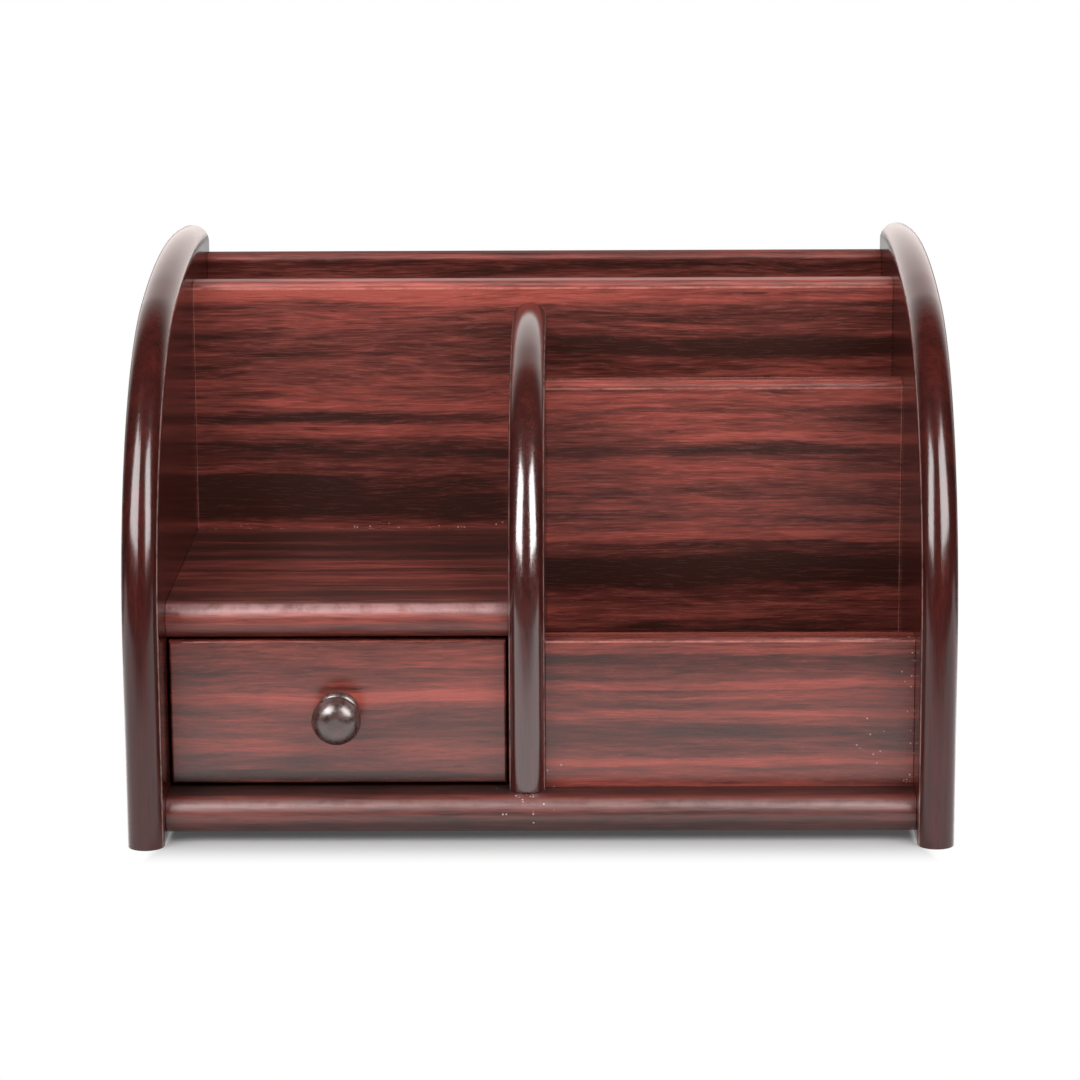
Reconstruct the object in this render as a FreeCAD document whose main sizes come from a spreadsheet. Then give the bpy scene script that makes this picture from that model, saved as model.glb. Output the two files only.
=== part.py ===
import FreeCAD, Part
import math
import os
import Sketcher

# A desk organiser with a drawer: two arched sides, cross panels, a shelf and a sliding drawer box.
# Every piece is drawn in one frame whose corner is the left front foot, then moved so that the
# origin is the middle of the footprint. Lengths are millimetres, +Y is the rear and +Z is up.

os.makedirs("parts", exist_ok=True)
doc = FreeCAD.newDocument("desk_organiser")
sheet = doc.addObject("Spreadsheet::Sheet", "sizes")

# Driving sizes
DRIVING = [
    ("overall_width", 268.0),
    ("overall_depth", 205.0),
    ("overall_height", 177.6),
    ("board_thickness", 12.0),
    ("panel_thickness", 9.0),
    ("nose_land", 0.1),
    ("side_straight", 68.0),
    ("side_shoulder_share", 0.945),
    ("side_crown_share", 1.84),
    ("base_lift", 2.5),
    ("base_setback", 9.0),
    ("left_bay_width", 111.6),
    ("divider_setback", 16.0),
    ("divider_height", 142.6),
    ("divider_straight", 54.5),
    ("divider_shoulder_share", 0.945),
    ("divider_crown_share", 1.36),
    ("drawer_bay_height", 50.0),
    ("shelf_setback", 23.0),
    ("tray_setback", 24.0),
    ("tray_height", 50.2),
    ("tray_top_round", 1.2),
    ("pocket_setback", 90.5),
    ("pocket_height", 122.9),
    ("middle_setback", 139.4),
    ("middle_height", 149.7),
    ("back_height", 151.1),
    ("panel_front_round", 2.4),
    ("panel_rear_round", 1.2),
    ("drawer_setback", 25.0),
    ("drawer_gap_side", 0.8),
    ("drawer_gap_top", 0.6),
    ("drawer_gap_bottom", 1.2),
    ("drawer_gap_run", 0.3),
    ("drawer_gap_rear", 3.4),
    ("drawer_front_round", 0.8),
    ("drawer_side_thickness", 6.0),
    ("drawer_side_height", 40.0),
    ("drawer_side_inset", 0.5),
    ("drawer_top_round", 1.0),
    ("rabbet_depth", 4.5),
    ("groove_depth", 3.0),
    ("groove_rise", 4.0),
    ("groove_play", 0.1),
    ("drawer_bottom_thickness", 3.0),
    ("dowel_radius", 3.0),
    ("dowel_length", 24.0),
    ("dowel_in_board", 8.0),
    ("panel_dowel_radius", 2.5),
    ("panel_dowel_length", 20.0),
    ("divider_dowel_in_panel", 5.0),
    ("dowel_end_bevel", 0.6),
    ("glue_gap", 0.1),
    ("bore_end_room", 0.5),
    ("screw_radius", 1.6),
    ("screw_length", 28.0),
    ("screw_head_radius", 3.2),
    ("screw_tip_length", 3.0),
    ("screw_tip_radius", 0.4),
    ("screw_passage_play", 0.3),
    ("brad_radius", 0.7),
    ("brad_length", 18.0),
    ("knob_collar_radius", 7.1),
    ("knob_collar_length", 3.0),
    ("knob_collar_slope", 1.6),
    ("knob_neck_radius", 4.6),
    ("knob_neck_length", 2.8),
    ("knob_head_slope", 2.8),
    ("knob_head_radius", 8.0),
    ("knob_head_length", 6.8),
    ("knob_rim_round", 5.9),
    ("knob_back_round", 1.4),
    ("knob_neck_round", 1.6),
    ("knob_collar_round", 0.8),
    ("knob_screw_radius", 1.5),
    ("knob_screw_length", 19.5),
    ("knob_screw_head_radius", 3.4),
    ("knob_screw_head_height", 2.2),
    ("knob_screw_head_round", 0.9),
    ("knob_screw_tip_bevel", 0.8),
    ("knob_screw_passage", 2.0),
    ("recess_arm_length", 2.0),
    ("recess_arm_width", 0.6),
    ("recess_depth", 1.1),
    ("base_dowel_inset", 29.0),
    ("shelf_dowel_inset", 25.0),
    ("dowel_low_share", 0.25),
    ("dowel_high_share", 0.75),
    ("divider_screw_inset", 28.0),
    ("panel_screw_inset", 45.0),
    ("brad_low_share", 0.33),
    ("brad_high_share", 0.78),
]

# Sizes that follow from the driving ones
DERIVED = [
    ("shift_x", "-overall_width / 2"),
    ("shift_y", "-overall_depth / 2"),
    ("nose_radius", "(board_thickness - nose_land) / 2"),
    ("side_rise", "overall_height - side_straight"),
    ("side_shoulder_radius", "side_rise * side_shoulder_share"),
    ("side_crown_radius", "overall_depth * side_crown_share"),
    ("side_radius_step", "side_crown_radius - side_shoulder_radius"),
    ("side_turn_height", "side_crown_radius - side_rise"),
    ("side_reach_square", "side_radius_step * side_radius_step - side_turn_height * side_turn_height"),
    ("side_crown_reach", "sqrt(side_reach_square)"),
    ("side_crown_run", "overall_depth - side_shoulder_radius - side_crown_reach"),
    ("side_crown_square", "side_crown_radius * side_crown_radius - side_crown_run * side_crown_run"),
    ("side_rear_height", "overall_height - side_crown_radius + sqrt(side_crown_square)"),
    ("inner_left_x", "board_thickness"),
    ("inner_right_x", "overall_width - board_thickness"),
    ("inner_width", "overall_width - 2 * board_thickness"),
    ("base_top_z", "base_lift + board_thickness"),
    ("base_middle_z", "base_lift + board_thickness / 2"),
    ("base_depth", "overall_depth - base_setback"),
    ("divider_left_x", "board_thickness + left_bay_width"),
    ("divider_right_x", "divider_left_x + board_thickness"),
    ("divider_middle_x", "divider_left_x + board_thickness / 2"),
    ("divider_depth", "middle_setback - divider_setback"),
    ("divider_rise", "divider_height - divider_straight"),
    ("divider_shoulder_radius", "divider_rise * divider_shoulder_share"),
    ("divider_crown_radius", "divider_depth * divider_crown_share"),
    ("divider_radius_step", "divider_crown_radius - divider_shoulder_radius"),
    ("divider_turn_height", "divider_crown_radius - divider_rise"),
    ("divider_reach_square",
     "divider_radius_step * divider_radius_step - divider_turn_height * divider_turn_height"),
    ("divider_crown_reach", "sqrt(divider_reach_square)"),
    ("divider_crown_run", "divider_depth - divider_shoulder_radius - divider_crown_reach"),
    ("divider_crown_square",
     "divider_crown_radius * divider_crown_radius - divider_crown_run * divider_crown_run"),
    ("divider_rear_height", "divider_height - divider_crown_radius + sqrt(divider_crown_square)"),
    ("right_bay_width", "inner_right_x - divider_right_x"),
    ("right_bay_middle_x", "divider_right_x + right_bay_width / 2"),
    ("shelf_bottom_z", "base_top_z + drawer_bay_height"),
    ("shelf_middle_z", "shelf_bottom_z + board_thickness / 2"),
    ("shelf_depth", "middle_setback - shelf_setback"),
    ("back_setback", "overall_depth - panel_thickness"),
    ("tray_middle_y", "tray_setback + panel_thickness / 2"),
    ("pocket_middle_y", "pocket_setback + panel_thickness / 2"),
    ("middle_middle_y", "middle_setback + panel_thickness / 2"),
    ("back_middle_y", "back_setback + panel_thickness / 2"),
    ("drawer_left_x", "inner_left_x + drawer_gap_side"),
    ("drawer_width", "left_bay_width - 2 * drawer_gap_side"),
    ("drawer_middle_x", "drawer_left_x + drawer_width / 2"),
    ("drawer_front_z", "base_top_z + drawer_gap_bottom"),
    ("drawer_front_height", "drawer_bay_height - drawer_gap_bottom - drawer_gap_top"),
    ("drawer_middle_z", "drawer_front_z + drawer_front_height / 2"),
    ("drawer_rear_face_y", "drawer_setback + panel_thickness"),
    ("box_left_x", "drawer_left_x + drawer_side_inset"),
    ("box_width", "drawer_width - 2 * drawer_side_inset"),
    ("box_inner_left_x", "box_left_x + drawer_side_thickness"),
    ("box_inner_width", "box_width - 2 * drawer_side_thickness"),
    ("box_inner_right_x", "box_inner_left_x + box_inner_width"),
    ("box_right_x", "box_left_x + box_width"),
    ("box_low_z", "base_top_z + drawer_gap_run"),
    ("box_front_y", "drawer_rear_face_y - rabbet_depth"),
    ("box_length", "middle_setback - drawer_gap_rear - box_front_y"),
    ("box_rear_y", "box_front_y + box_length"),
    ("box_back_y", "box_rear_y - drawer_side_thickness"),
    ("rabbet_width", "drawer_side_inset + drawer_side_thickness"),
    ("rabbet_right_x", "box_inner_right_x"),
    ("groove_low_z", "box_low_z + groove_rise"),
    ("groove_height", "drawer_bottom_thickness + 2 * groove_play"),
    ("bottom_low_z", "groove_low_z + groove_play"),
    ("bottom_left_x", "box_inner_left_x - groove_depth + groove_play"),
    ("bottom_width", "box_inner_width + 2 * groove_depth - 2 * groove_play"),
    ("bottom_front_y", "drawer_rear_face_y - groove_depth + groove_play"),
    ("bottom_depth", "box_back_y - drawer_rear_face_y + 2 * groove_depth - 2 * groove_play"),
    ("base_dowel_front_y", "base_setback + base_dowel_inset"),
    ("base_dowel_rear_y", "overall_depth - base_dowel_inset"),
    ("base_dowel_middle_y", "(base_dowel_front_y + base_dowel_rear_y) / 2"),
    ("shelf_dowel_front_y", "shelf_setback + shelf_dowel_inset"),
    ("shelf_dowel_rear_y", "middle_setback - shelf_dowel_inset"),
    ("tray_dowel_low_z", "base_top_z + tray_height * dowel_low_share"),
    ("tray_dowel_high_z", "base_top_z + tray_height * dowel_high_share"),
    ("pocket_dowel_low_z", "base_top_z + pocket_height * dowel_low_share"),
    ("pocket_dowel_high_z", "base_top_z + pocket_height * dowel_high_share"),
    ("middle_dowel_low_z", "base_top_z + middle_height * dowel_low_share"),
    ("middle_dowel_high_z", "base_top_z + middle_height * dowel_high_share"),
    ("back_dowel_low_z", "base_top_z + back_height * dowel_low_share"),
    ("back_dowel_high_z", "base_top_z + back_height * dowel_high_share"),
    ("divider_dowel_low_z", "base_top_z + divider_height * dowel_low_share"),
    ("divider_dowel_high_z", "base_top_z + divider_height * dowel_high_share"),
    ("divider_screw_front_y", "divider_setback + divider_screw_inset"),
    ("divider_screw_rear_y", "middle_setback - divider_screw_inset"),
    ("dowel_bore_radius", "dowel_radius + glue_gap"),
    ("panel_bore_radius", "panel_dowel_radius + glue_gap"),
    ("board_bore_depth", "dowel_in_board + bore_end_room"),
    ("end_bore_depth", "dowel_length - dowel_in_board + bore_end_room"),
    ("panel_end_bore_depth", "panel_dowel_length - dowel_in_board + bore_end_room"),
    ("left_dowel_x", "inner_left_x - dowel_in_board"),
    ("right_dowel_x", "inner_right_x + dowel_in_board - dowel_length"),
    ("right_panel_dowel_x", "inner_right_x + dowel_in_board - panel_dowel_length"),
    ("shelf_dowel_x", "divider_left_x + dowel_in_board - dowel_length"),
    ("bay_panel_dowel_x", "divider_right_x - dowel_in_board"),
    ("divider_dowel_y", "middle_setback + divider_dowel_in_panel"),
    ("divider_panel_bore_depth", "divider_dowel_in_panel + bore_end_room"),
    ("divider_end_bore_depth", "panel_dowel_length - divider_dowel_in_panel + bore_end_room"),
    ("screw_pilot_radius", "screw_radius + glue_gap"),
    ("screw_passage_radius", "screw_radius + screw_passage_play"),
    ("screw_sink", "screw_head_radius + glue_gap - screw_passage_radius"),
    ("screw_head_height", "screw_head_radius - screw_radius"),
    ("screw_shank_length", "screw_length - screw_tip_length"),
    ("screw_tip_z", "base_lift + screw_shank_length"),
    ("screw_pilot_depth", "screw_length - board_thickness + bore_end_room"),
    ("screw_left_x", "inner_left_x + panel_screw_inset"),
    ("screw_right_x", "inner_right_x - panel_screw_inset"),
    ("brad_bore_radius", "brad_radius + glue_gap"),
    ("brad_bore_depth", "brad_length - drawer_side_thickness + bore_end_room"),
    ("brad_front_y", "box_front_y + rabbet_depth / 2"),
    ("brad_rear_y", "box_rear_y - drawer_side_thickness / 2"),
    ("brad_low_z", "box_low_z + drawer_side_height * brad_low_share"),
    ("brad_high_z", "box_low_z + drawer_side_height * brad_high_share"),
    ("brad_right_x", "box_right_x - brad_length"),
    ("knob_collar_y", "drawer_setback - knob_collar_length"),
    ("knob_neck_rear_y", "knob_collar_y - knob_collar_slope"),
    ("knob_neck_front_y", "knob_neck_rear_y - knob_neck_length"),
    ("knob_head_rear_y", "knob_neck_front_y - knob_head_slope"),
    ("knob_front_y", "knob_head_rear_y - knob_head_length"),
    ("knob_collar_z", "drawer_middle_z + knob_collar_radius"),
    ("knob_neck_z", "drawer_middle_z + knob_neck_radius"),
    ("knob_head_z", "drawer_middle_z + knob_head_radius"),
    ("knob_bore_radius", "knob_screw_radius + glue_gap"),
    ("knob_bore_depth", "knob_screw_length - panel_thickness + bore_end_room"),
    ("knob_screw_tip_y", "drawer_rear_face_y - knob_screw_length"),
    ("knob_screw_top_y", "drawer_rear_face_y + knob_screw_head_height"),
    ("knob_screw_shank_z", "drawer_middle_z + knob_screw_radius"),
    ("knob_screw_head_z", "drawer_middle_z + knob_screw_head_radius"),
    ("recess_long", "2 * recess_arm_length"),
    ("recess_wide", "2 * recess_arm_width"),
    ("recess_long_x", "drawer_middle_x - recess_arm_length"),
    ("recess_long_z", "drawer_middle_z - recess_arm_width"),
    ("recess_tall_x", "drawer_middle_x - recess_arm_width"),
    ("recess_tall_z", "drawer_middle_z - recess_arm_length"),
]

# How close two lengths or directions are to count as the same
CLOSE_SHARE = 0.1
ALIGNED_SHARE = 0.999
FULL_TURN = 360.0

row = 0
for alias, amount in DRIVING:
    row = row + 1
    sheet.set("A%d" % row, alias)
    sheet.set("B%d" % row, str(amount))
    sheet.setAlias("B%d" % row, alias)
doc.recompute()
for alias, formula in DERIVED:
    row = row + 1
    sheet.set("A%d" % row, alias)
    sheet.set("B%d" % row, "=" + formula)
    sheet.setAlias("B%d" % row, alias)
    doc.recompute()

nodes = []


def size(alias):
    """Return one size from the sheet."""
    return float(sheet.get(alias))


def bound(thing, prop, alias, sign=""):
    """Tie a property of an object to a size."""
    thing.setExpression(prop, "%ssizes.%s" % (sign, alias))


def near(first, second):
    """Tell whether two lengths are the same."""
    return abs(first - second) < size("nose_land") * CLOSE_SHARE


# Sketches
def new_body(label, several=False):
    """Start the body of one piece in the common frame."""
    body = doc.addObject("PartDesign::Body", label)
    body.Label = label
    if several:
        body.AllowCompound = True
    bound(body, "Placement.Base.x", "shift_x")
    bound(body, "Placement.Base.y", "shift_y")
    nodes.append(body)
    return body


def new_sketch(body, name, role, lift=None):
    """Put a sketch on one of the body's planes, or parallel to it at a size."""
    sketch = body.newObject("Sketcher::SketchObject", name)
    plane = [part for part in body.Origin.OriginFeatures if part.Role == role][0]
    sketch.AttachmentSupport = (plane, [""])
    sketch.MapMode = "FlatFace"
    if lift is not None:
        sign = "-" if role == "XZ_Plane" else ""
        bound(sketch, "AttachmentOffset.Base.z", lift, sign)
    return sketch


def measure(sketch, kind, ends, alias):
    """Add one dimension to a sketch and tie it to a size."""
    index = sketch.addConstraint(Sketcher.Constraint(kind, *ends, size(alias)))
    sketch.setExpression("Constraints[%d]" % index, "sizes.%s" % alias)


def place_point(sketch, geo, end, across, up):
    """Fix a point of a sketch at two sizes, or on an axis where the size is None."""
    if across is None:
        sketch.addConstraint(Sketcher.Constraint("PointOnObject", geo, end, -2))
    else:
        measure(sketch, "DistanceX", (-1, 1, geo, end), across)
    if up is None:
        sketch.addConstraint(Sketcher.Constraint("PointOnObject", geo, end, -1))
    else:
        measure(sketch, "DistanceY", (-1, 1, geo, end), up)


def draw_loop(sketch, corners):
    """Draw a closed outline of straight lines through known points."""
    start = sketch.GeometryCount
    count = len(corners)
    for index in range(count):
        ends = []
        for across, up in (corners[index], corners[(index + 1) % count]):
            ends.append(FreeCAD.Vector(size(across) if across else 0, size(up) if up else 0, 0))
        sketch.addGeometry(Part.LineSegment(ends[0], ends[1]), False)
    for index in range(count):
        following = start + (index + 1) % count
        sketch.addConstraint(Sketcher.Constraint("Coincident", start + index, 2, following, 1))
    for index in range(count):
        place_point(sketch, start + index, 1, *corners[index])


def draw_box(sketch, across, up, wide, high):
    """Draw a rectangle from its lower corner, width and height."""
    start = sketch.GeometryCount
    left = size(across) if across else 0
    low = size(up) if up else 0
    right = left + size(wide)
    top = low + size(high)
    ring = [(left, low), (right, low), (right, top), (left, top)]
    for index in range(4):
        here = FreeCAD.Vector(ring[index][0], ring[index][1], 0)
        there = FreeCAD.Vector(ring[(index + 1) % 4][0], ring[(index + 1) % 4][1], 0)
        sketch.addGeometry(Part.LineSegment(here, there), False)
    for index in range(4):
        following = start + (index + 1) % 4
        sketch.addConstraint(Sketcher.Constraint("Coincident", start + index, 2, following, 1))
    for index, kind in enumerate(("Horizontal", "Vertical", "Horizontal", "Vertical")):
        sketch.addConstraint(Sketcher.Constraint(kind, start + index))
    place_point(sketch, start, 1, across, up)
    measure(sketch, "DistanceX", (start, 1, start, 2), wide)
    measure(sketch, "DistanceY", (start + 1, 1, start + 1, 2), high)


def draw_circles(sketch, points, radius):
    """Draw equal circles at known points."""
    for index, (across, up) in enumerate(points):
        middle = FreeCAD.Vector(size(across), size(up), 0)
        ring = Part.Circle(middle, FreeCAD.Vector(0, 0, 1), size(radius))
        sketch.addGeometry(ring, False)
        place_point(sketch, index, 3, across, up)
        if index == 0:
            measure(sketch, "Radius", (index,), radius)
        else:
            sketch.addConstraint(Sketcher.Constraint("Equal", 0, index))


def draw_arch(sketch, front, low, deep, name):
    """Draw the arched outline: upright front, shoulder arc and flatter crown arc down to the rear."""
    front_y = size(front) if front else 0
    low_z = size(low) if low else 0
    rear_y = front_y + size(deep)
    bend_z = low_z + size(name + "_straight")
    small = size(name + "_shoulder_radius")
    large = size(name + "_crown_radius")
    turn = math.asin(size(name + "_turn_height") / size(name + "_radius_step"))
    crown_y = rear_y - size(name + "_crown_run")
    crown_z = bend_z - size(name + "_turn_height")
    rear_z = low_z + size(name + "_rear_height")
    rear_turn = math.acos((rear_y - crown_y) / large)
    corner = FreeCAD.Vector(front_y, low_z, 0)
    bend = FreeCAD.Vector(front_y, bend_z, 0)
    rear_top = FreeCAD.Vector(rear_y, rear_z, 0)
    rear_foot = FreeCAD.Vector(rear_y, low_z, 0)
    axis = FreeCAD.Vector(0, 0, 1)
    shoulder_ring = Part.Circle(FreeCAD.Vector(front_y + small, bend_z, 0), axis, small)
    crown_ring = Part.Circle(FreeCAD.Vector(crown_y, crown_z, 0), axis, large)
    sketch.addGeometry(Part.LineSegment(corner, bend), False)
    sketch.addGeometry(Part.ArcOfCircle(shoulder_ring, math.pi - turn, math.pi), False)
    sketch.addGeometry(Part.ArcOfCircle(crown_ring, rear_turn, math.pi - turn), False)
    sketch.addGeometry(Part.LineSegment(rear_top, rear_foot), False)
    sketch.addGeometry(Part.LineSegment(rear_foot, corner), False)
    sketch.addConstraint(Sketcher.Constraint("Tangent", 0, 2, 1, 2))
    sketch.addConstraint(Sketcher.Constraint("Tangent", 1, 1, 2, 2))
    sketch.addConstraint(Sketcher.Constraint("Coincident", 2, 1, 3, 1))
    sketch.addConstraint(Sketcher.Constraint("Coincident", 3, 2, 4, 1))
    sketch.addConstraint(Sketcher.Constraint("Coincident", 4, 2, 0, 1))
    sketch.addConstraint(Sketcher.Constraint("Vertical", 0))
    sketch.addConstraint(Sketcher.Constraint("Vertical", 3))
    sketch.addConstraint(Sketcher.Constraint("Horizontal", 4))
    place_point(sketch, 0, 1, front, low)
    measure(sketch, "DistanceY", (0, 1, 0, 2), name + "_straight")
    measure(sketch, "DistanceX", (0, 1, 3, 2), deep)
    measure(sketch, "DistanceY", (3, 2, 3, 1), name + "_rear_height")
    measure(sketch, "Radius", (1,), name + "_shoulder_radius")
    measure(sketch, "Radius", (2,), name + "_crown_radius")


# Solid features
def extrude(body, sketch, name, length, turned=False):
    """Pad a sketch by a size."""
    feature = body.newObject("PartDesign::Pad", name)
    feature.Profile = sketch
    bound(feature, "Length", length)
    feature.Reversed = turned
    body.Tip = feature
    doc.recompute()
    return feature


def cut_away(body, sketch, name, depth, turned=False):
    """Pocket a sketch by a size and check that it removes material."""
    before = body.Tip.Shape.Volume
    feature = body.newObject("PartDesign::Pocket", name)
    feature.Profile = sketch
    bound(feature, "Length", depth)
    feature.Reversed = turned
    body.Tip = feature
    doc.recompute()
    if feature.Shape.Volume >= before:
        raise ValueError("%s removes nothing from %s" % (name, body.Label))
    return feature


def bore(body, name, role, lift, points, radius, depth, turned=False):
    """Bore equal round holes from a plane."""
    sketch = new_sketch(body, name + "_sketch", role, lift)
    draw_circles(sketch, points, radius)
    return cut_away(body, sketch, name, depth, turned)


def dress(body, kind, name, wanted, alias):
    """Round or bevel the edges of the tip that pass a test."""
    base = body.Tip
    picked = []
    for index, edge in enumerate(base.Shape.Edges):
        if wanted(edge):
            picked.append("Edge%d" % (index + 1))
    if not picked:
        raise ValueError("%s finds no edge on %s" % (name, body.Label))
    feature = body.newObject("PartDesign::" + kind, name)
    feature.Base = (base, picked)
    bound(feature, "Radius" if kind == "Fillet" else "Size", alias)
    body.Tip = feature
    doc.recompute()
    return feature


def edge_middle(edge):
    """Return the point halfway along an edge."""
    return edge.valueAt((edge.FirstParameter + edge.LastParameter) / 2)


def along(edge, direction):
    """Tell whether a straight edge runs along one axis."""
    if len(edge.Vertexes) < 2:
        return False
    run = edge.Vertexes[1].Point - edge.Vertexes[0].Point
    return run.Length > 0 and abs(run.dot(direction)) > ALIGNED_SHARE * run.Length


# Boards
def arched_board(label, left, front, low, deep, name):
    """Make an upright board with a half-round nose along its front and top."""
    body = new_body(label)
    outline = new_sketch(body, label + "_outline", "YZ_Plane", left)
    draw_arch(outline, front, low, deep, name)
    extrude(body, outline, label + "_pad", "board_thickness")
    rear_y = (size(front) if front else 0) + size(deep)
    low_z = size(low) if low else 0

    def on_nose(edge):
        middle = edge_middle(edge)
        flat = near(edge.Vertexes[0].Point.x, edge.Vertexes[1].Point.x)
        return flat and not near(middle.y, rear_y) and not near(middle.z, low_z)

    dress(body, "Fillet", label + "_nose", on_nose, "nose_radius")
    return body


def level_board(label, left, wide, front, deep, low):
    """Make a level board with a half-round nose along its front."""
    body = new_body(label)
    outline = new_sketch(body, label + "_outline", "XY_Plane", low)
    draw_box(outline, left, front, wide, deep)
    extrude(body, outline, label + "_pad", "board_thickness")

    def on_nose(edge):
        return near(edge_middle(edge).y, size(front)) and along(edge, FreeCAD.Vector(1, 0, 0))

    dress(body, "Fillet", label + "_nose", on_nose, "nose_radius")
    return body


def cross_panel(label, left, wide, front, high, front_round):
    """Make an upright cross panel that stands on the base, with its top edges eased."""
    body = new_body(label)
    outline = new_sketch(body, label + "_outline", "XZ_Plane", front)
    draw_box(outline, left, "base_top_z", wide, high)
    extrude(body, outline, label + "_pad", "panel_thickness", True)
    top_z = size("base_top_z") + size(high)

    def on_front(edge):
        middle = edge_middle(edge)
        return near(middle.z, top_z) and near(middle.y, size(front))

    def on_rear(edge):
        middle = edge_middle(edge)
        rear_y = size(front) + size("panel_thickness")
        return near(middle.z, top_z) and near(middle.y, rear_y)

    dress(body, "Fillet", label + "_front_edge", on_front, front_round)
    dress(body, "Fillet", label + "_rear_edge", on_rear, "panel_rear_round")
    return body


# Points where fasteners sit, as pairs of sizes
BASE_POINTS = [
    ("base_dowel_front_y", "base_middle_z"),
    ("base_dowel_middle_y", "base_middle_z"),
    ("base_dowel_rear_y", "base_middle_z"),
]
SHELF_POINTS = [("shelf_dowel_front_y", "shelf_middle_z"), ("shelf_dowel_rear_y", "shelf_middle_z")]
TRAY_POINTS = [("tray_middle_y", "tray_dowel_low_z"), ("tray_middle_y", "tray_dowel_high_z")]
POCKET_POINTS = [("pocket_middle_y", "pocket_dowel_low_z"), ("pocket_middle_y", "pocket_dowel_high_z")]
MIDDLE_POINTS = [("middle_middle_y", "middle_dowel_low_z"), ("middle_middle_y", "middle_dowel_high_z")]
BACK_POINTS = [("back_middle_y", "back_dowel_low_z"), ("back_middle_y", "back_dowel_high_z")]
DIVIDER_POINTS = [
    ("divider_middle_x", "divider_dowel_low_z"),
    ("divider_middle_x", "divider_dowel_high_z"),
]
DIVIDER_SCREWS = [
    ("divider_middle_x", "divider_screw_front_y"),
    ("divider_middle_x", "divider_screw_rear_y"),
]
TRAY_SCREWS = [("right_bay_middle_x", "tray_middle_y")]
POCKET_SCREWS = [("right_bay_middle_x", "pocket_middle_y")]
MIDDLE_SCREWS = [("screw_left_x", "middle_middle_y"), ("screw_right_x", "middle_middle_y")]
BACK_SCREWS = [("screw_left_x", "back_middle_y"), ("screw_right_x", "back_middle_y")]
FRONT_BRADS = [("brad_front_y", "brad_low_z"), ("brad_front_y", "brad_high_z")]
REAR_BRADS = [("brad_rear_y", "brad_low_z"), ("brad_rear_y", "brad_high_z")]

# Sides
left_side = arched_board("left_side_panel", None, None, None, "overall_depth", "side")
bore(left_side, "left_base_bores", "YZ_Plane", "inner_left_x", BASE_POINTS + SHELF_POINTS,
     "dowel_bore_radius", "board_bore_depth")
bore(left_side, "left_panel_bores", "YZ_Plane", "inner_left_x", MIDDLE_POINTS + BACK_POINTS,
     "panel_bore_radius", "board_bore_depth")
right_side = arched_board("right_side_panel", "inner_right_x", None, None, "overall_depth", "side")
bore(right_side, "right_base_bores", "YZ_Plane", "inner_right_x", BASE_POINTS,
     "dowel_bore_radius", "board_bore_depth", True)
bore(right_side, "right_panel_bores", "YZ_Plane", "inner_right_x",
     MIDDLE_POINTS + BACK_POINTS + POCKET_POINTS + TRAY_POINTS,
     "panel_bore_radius", "board_bore_depth", True)

# Base board with countersunk screw holes underneath
base = level_board("base_board", "inner_left_x", "inner_width", "base_setback", "base_depth", "base_lift")
bore(base, "base_left_bores", "YZ_Plane", "inner_left_x", BASE_POINTS,
     "dowel_bore_radius", "end_bore_depth", True)
bore(base, "base_right_bores", "YZ_Plane", "inner_right_x", BASE_POINTS,
     "dowel_bore_radius", "end_bore_depth")
BASE_SCREWS = DIVIDER_SCREWS + TRAY_SCREWS + POCKET_SCREWS + MIDDLE_SCREWS + BACK_SCREWS
bore(base, "base_screw_bores", "XY_Plane", "base_top_z", BASE_SCREWS,
     "screw_passage_radius", "board_thickness")


def on_sink(edge):
    """Find the lower mouths of the screw holes."""
    round_edge = isinstance(edge.Curve, Part.Circle)
    if not round_edge:
        return False
    low = near(edge.BoundBox.ZMax, size("base_lift"))
    return low and near(edge.Curve.Radius, size("screw_passage_radius"))


dress(base, "Chamfer", "base_screw_sinks", on_sink, "screw_sink")

# Divider and shelf
divider = arched_board("center_divider", "divider_left_x", "divider_setback", "base_top_z",
                       "divider_depth", "divider")
bore(divider, "divider_shelf_bores", "YZ_Plane", "divider_left_x", SHELF_POINTS,
     "dowel_bore_radius", "board_bore_depth", True)
bore(divider, "divider_panel_bores", "YZ_Plane", "divider_right_x", POCKET_POINTS + TRAY_POINTS,
     "panel_bore_radius", "board_bore_depth")
bore(divider, "divider_rear_bores", "XZ_Plane", "middle_setback", DIVIDER_POINTS,
     "panel_bore_radius", "divider_end_bore_depth", True)
bore(divider, "divider_screw_pilots", "XY_Plane", "base_top_z", DIVIDER_SCREWS,
     "screw_pilot_radius", "screw_pilot_depth", True)
shelf = level_board("drawer_bay_shelf", "inner_left_x", "left_bay_width", "shelf_setback",
                    "shelf_depth", "shelf_bottom_z")
bore(shelf, "shelf_left_bores", "YZ_Plane", "inner_left_x", SHELF_POINTS,
     "dowel_bore_radius", "end_bore_depth", True)
bore(shelf, "shelf_right_bores", "YZ_Plane", "divider_left_x", SHELF_POINTS,
     "dowel_bore_radius", "end_bore_depth")


# Cross panels
def bored_panel(label, left, wide, right, front, high, front_round, points, screws):
    """Make a cross panel with its end bores and screw pilots."""
    body = cross_panel(label, left, wide, front, high, front_round)
    bore(body, label + "_left_bores", "YZ_Plane", left, points,
         "panel_bore_radius", "panel_end_bore_depth", True)
    bore(body, label + "_right_bores", "YZ_Plane", right, points,
         "panel_bore_radius", "panel_end_bore_depth")
    bore(body, label + "_screw_pilots", "XY_Plane", "base_top_z", screws,
         "screw_pilot_radius", "screw_pilot_depth", True)
    return body


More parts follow.
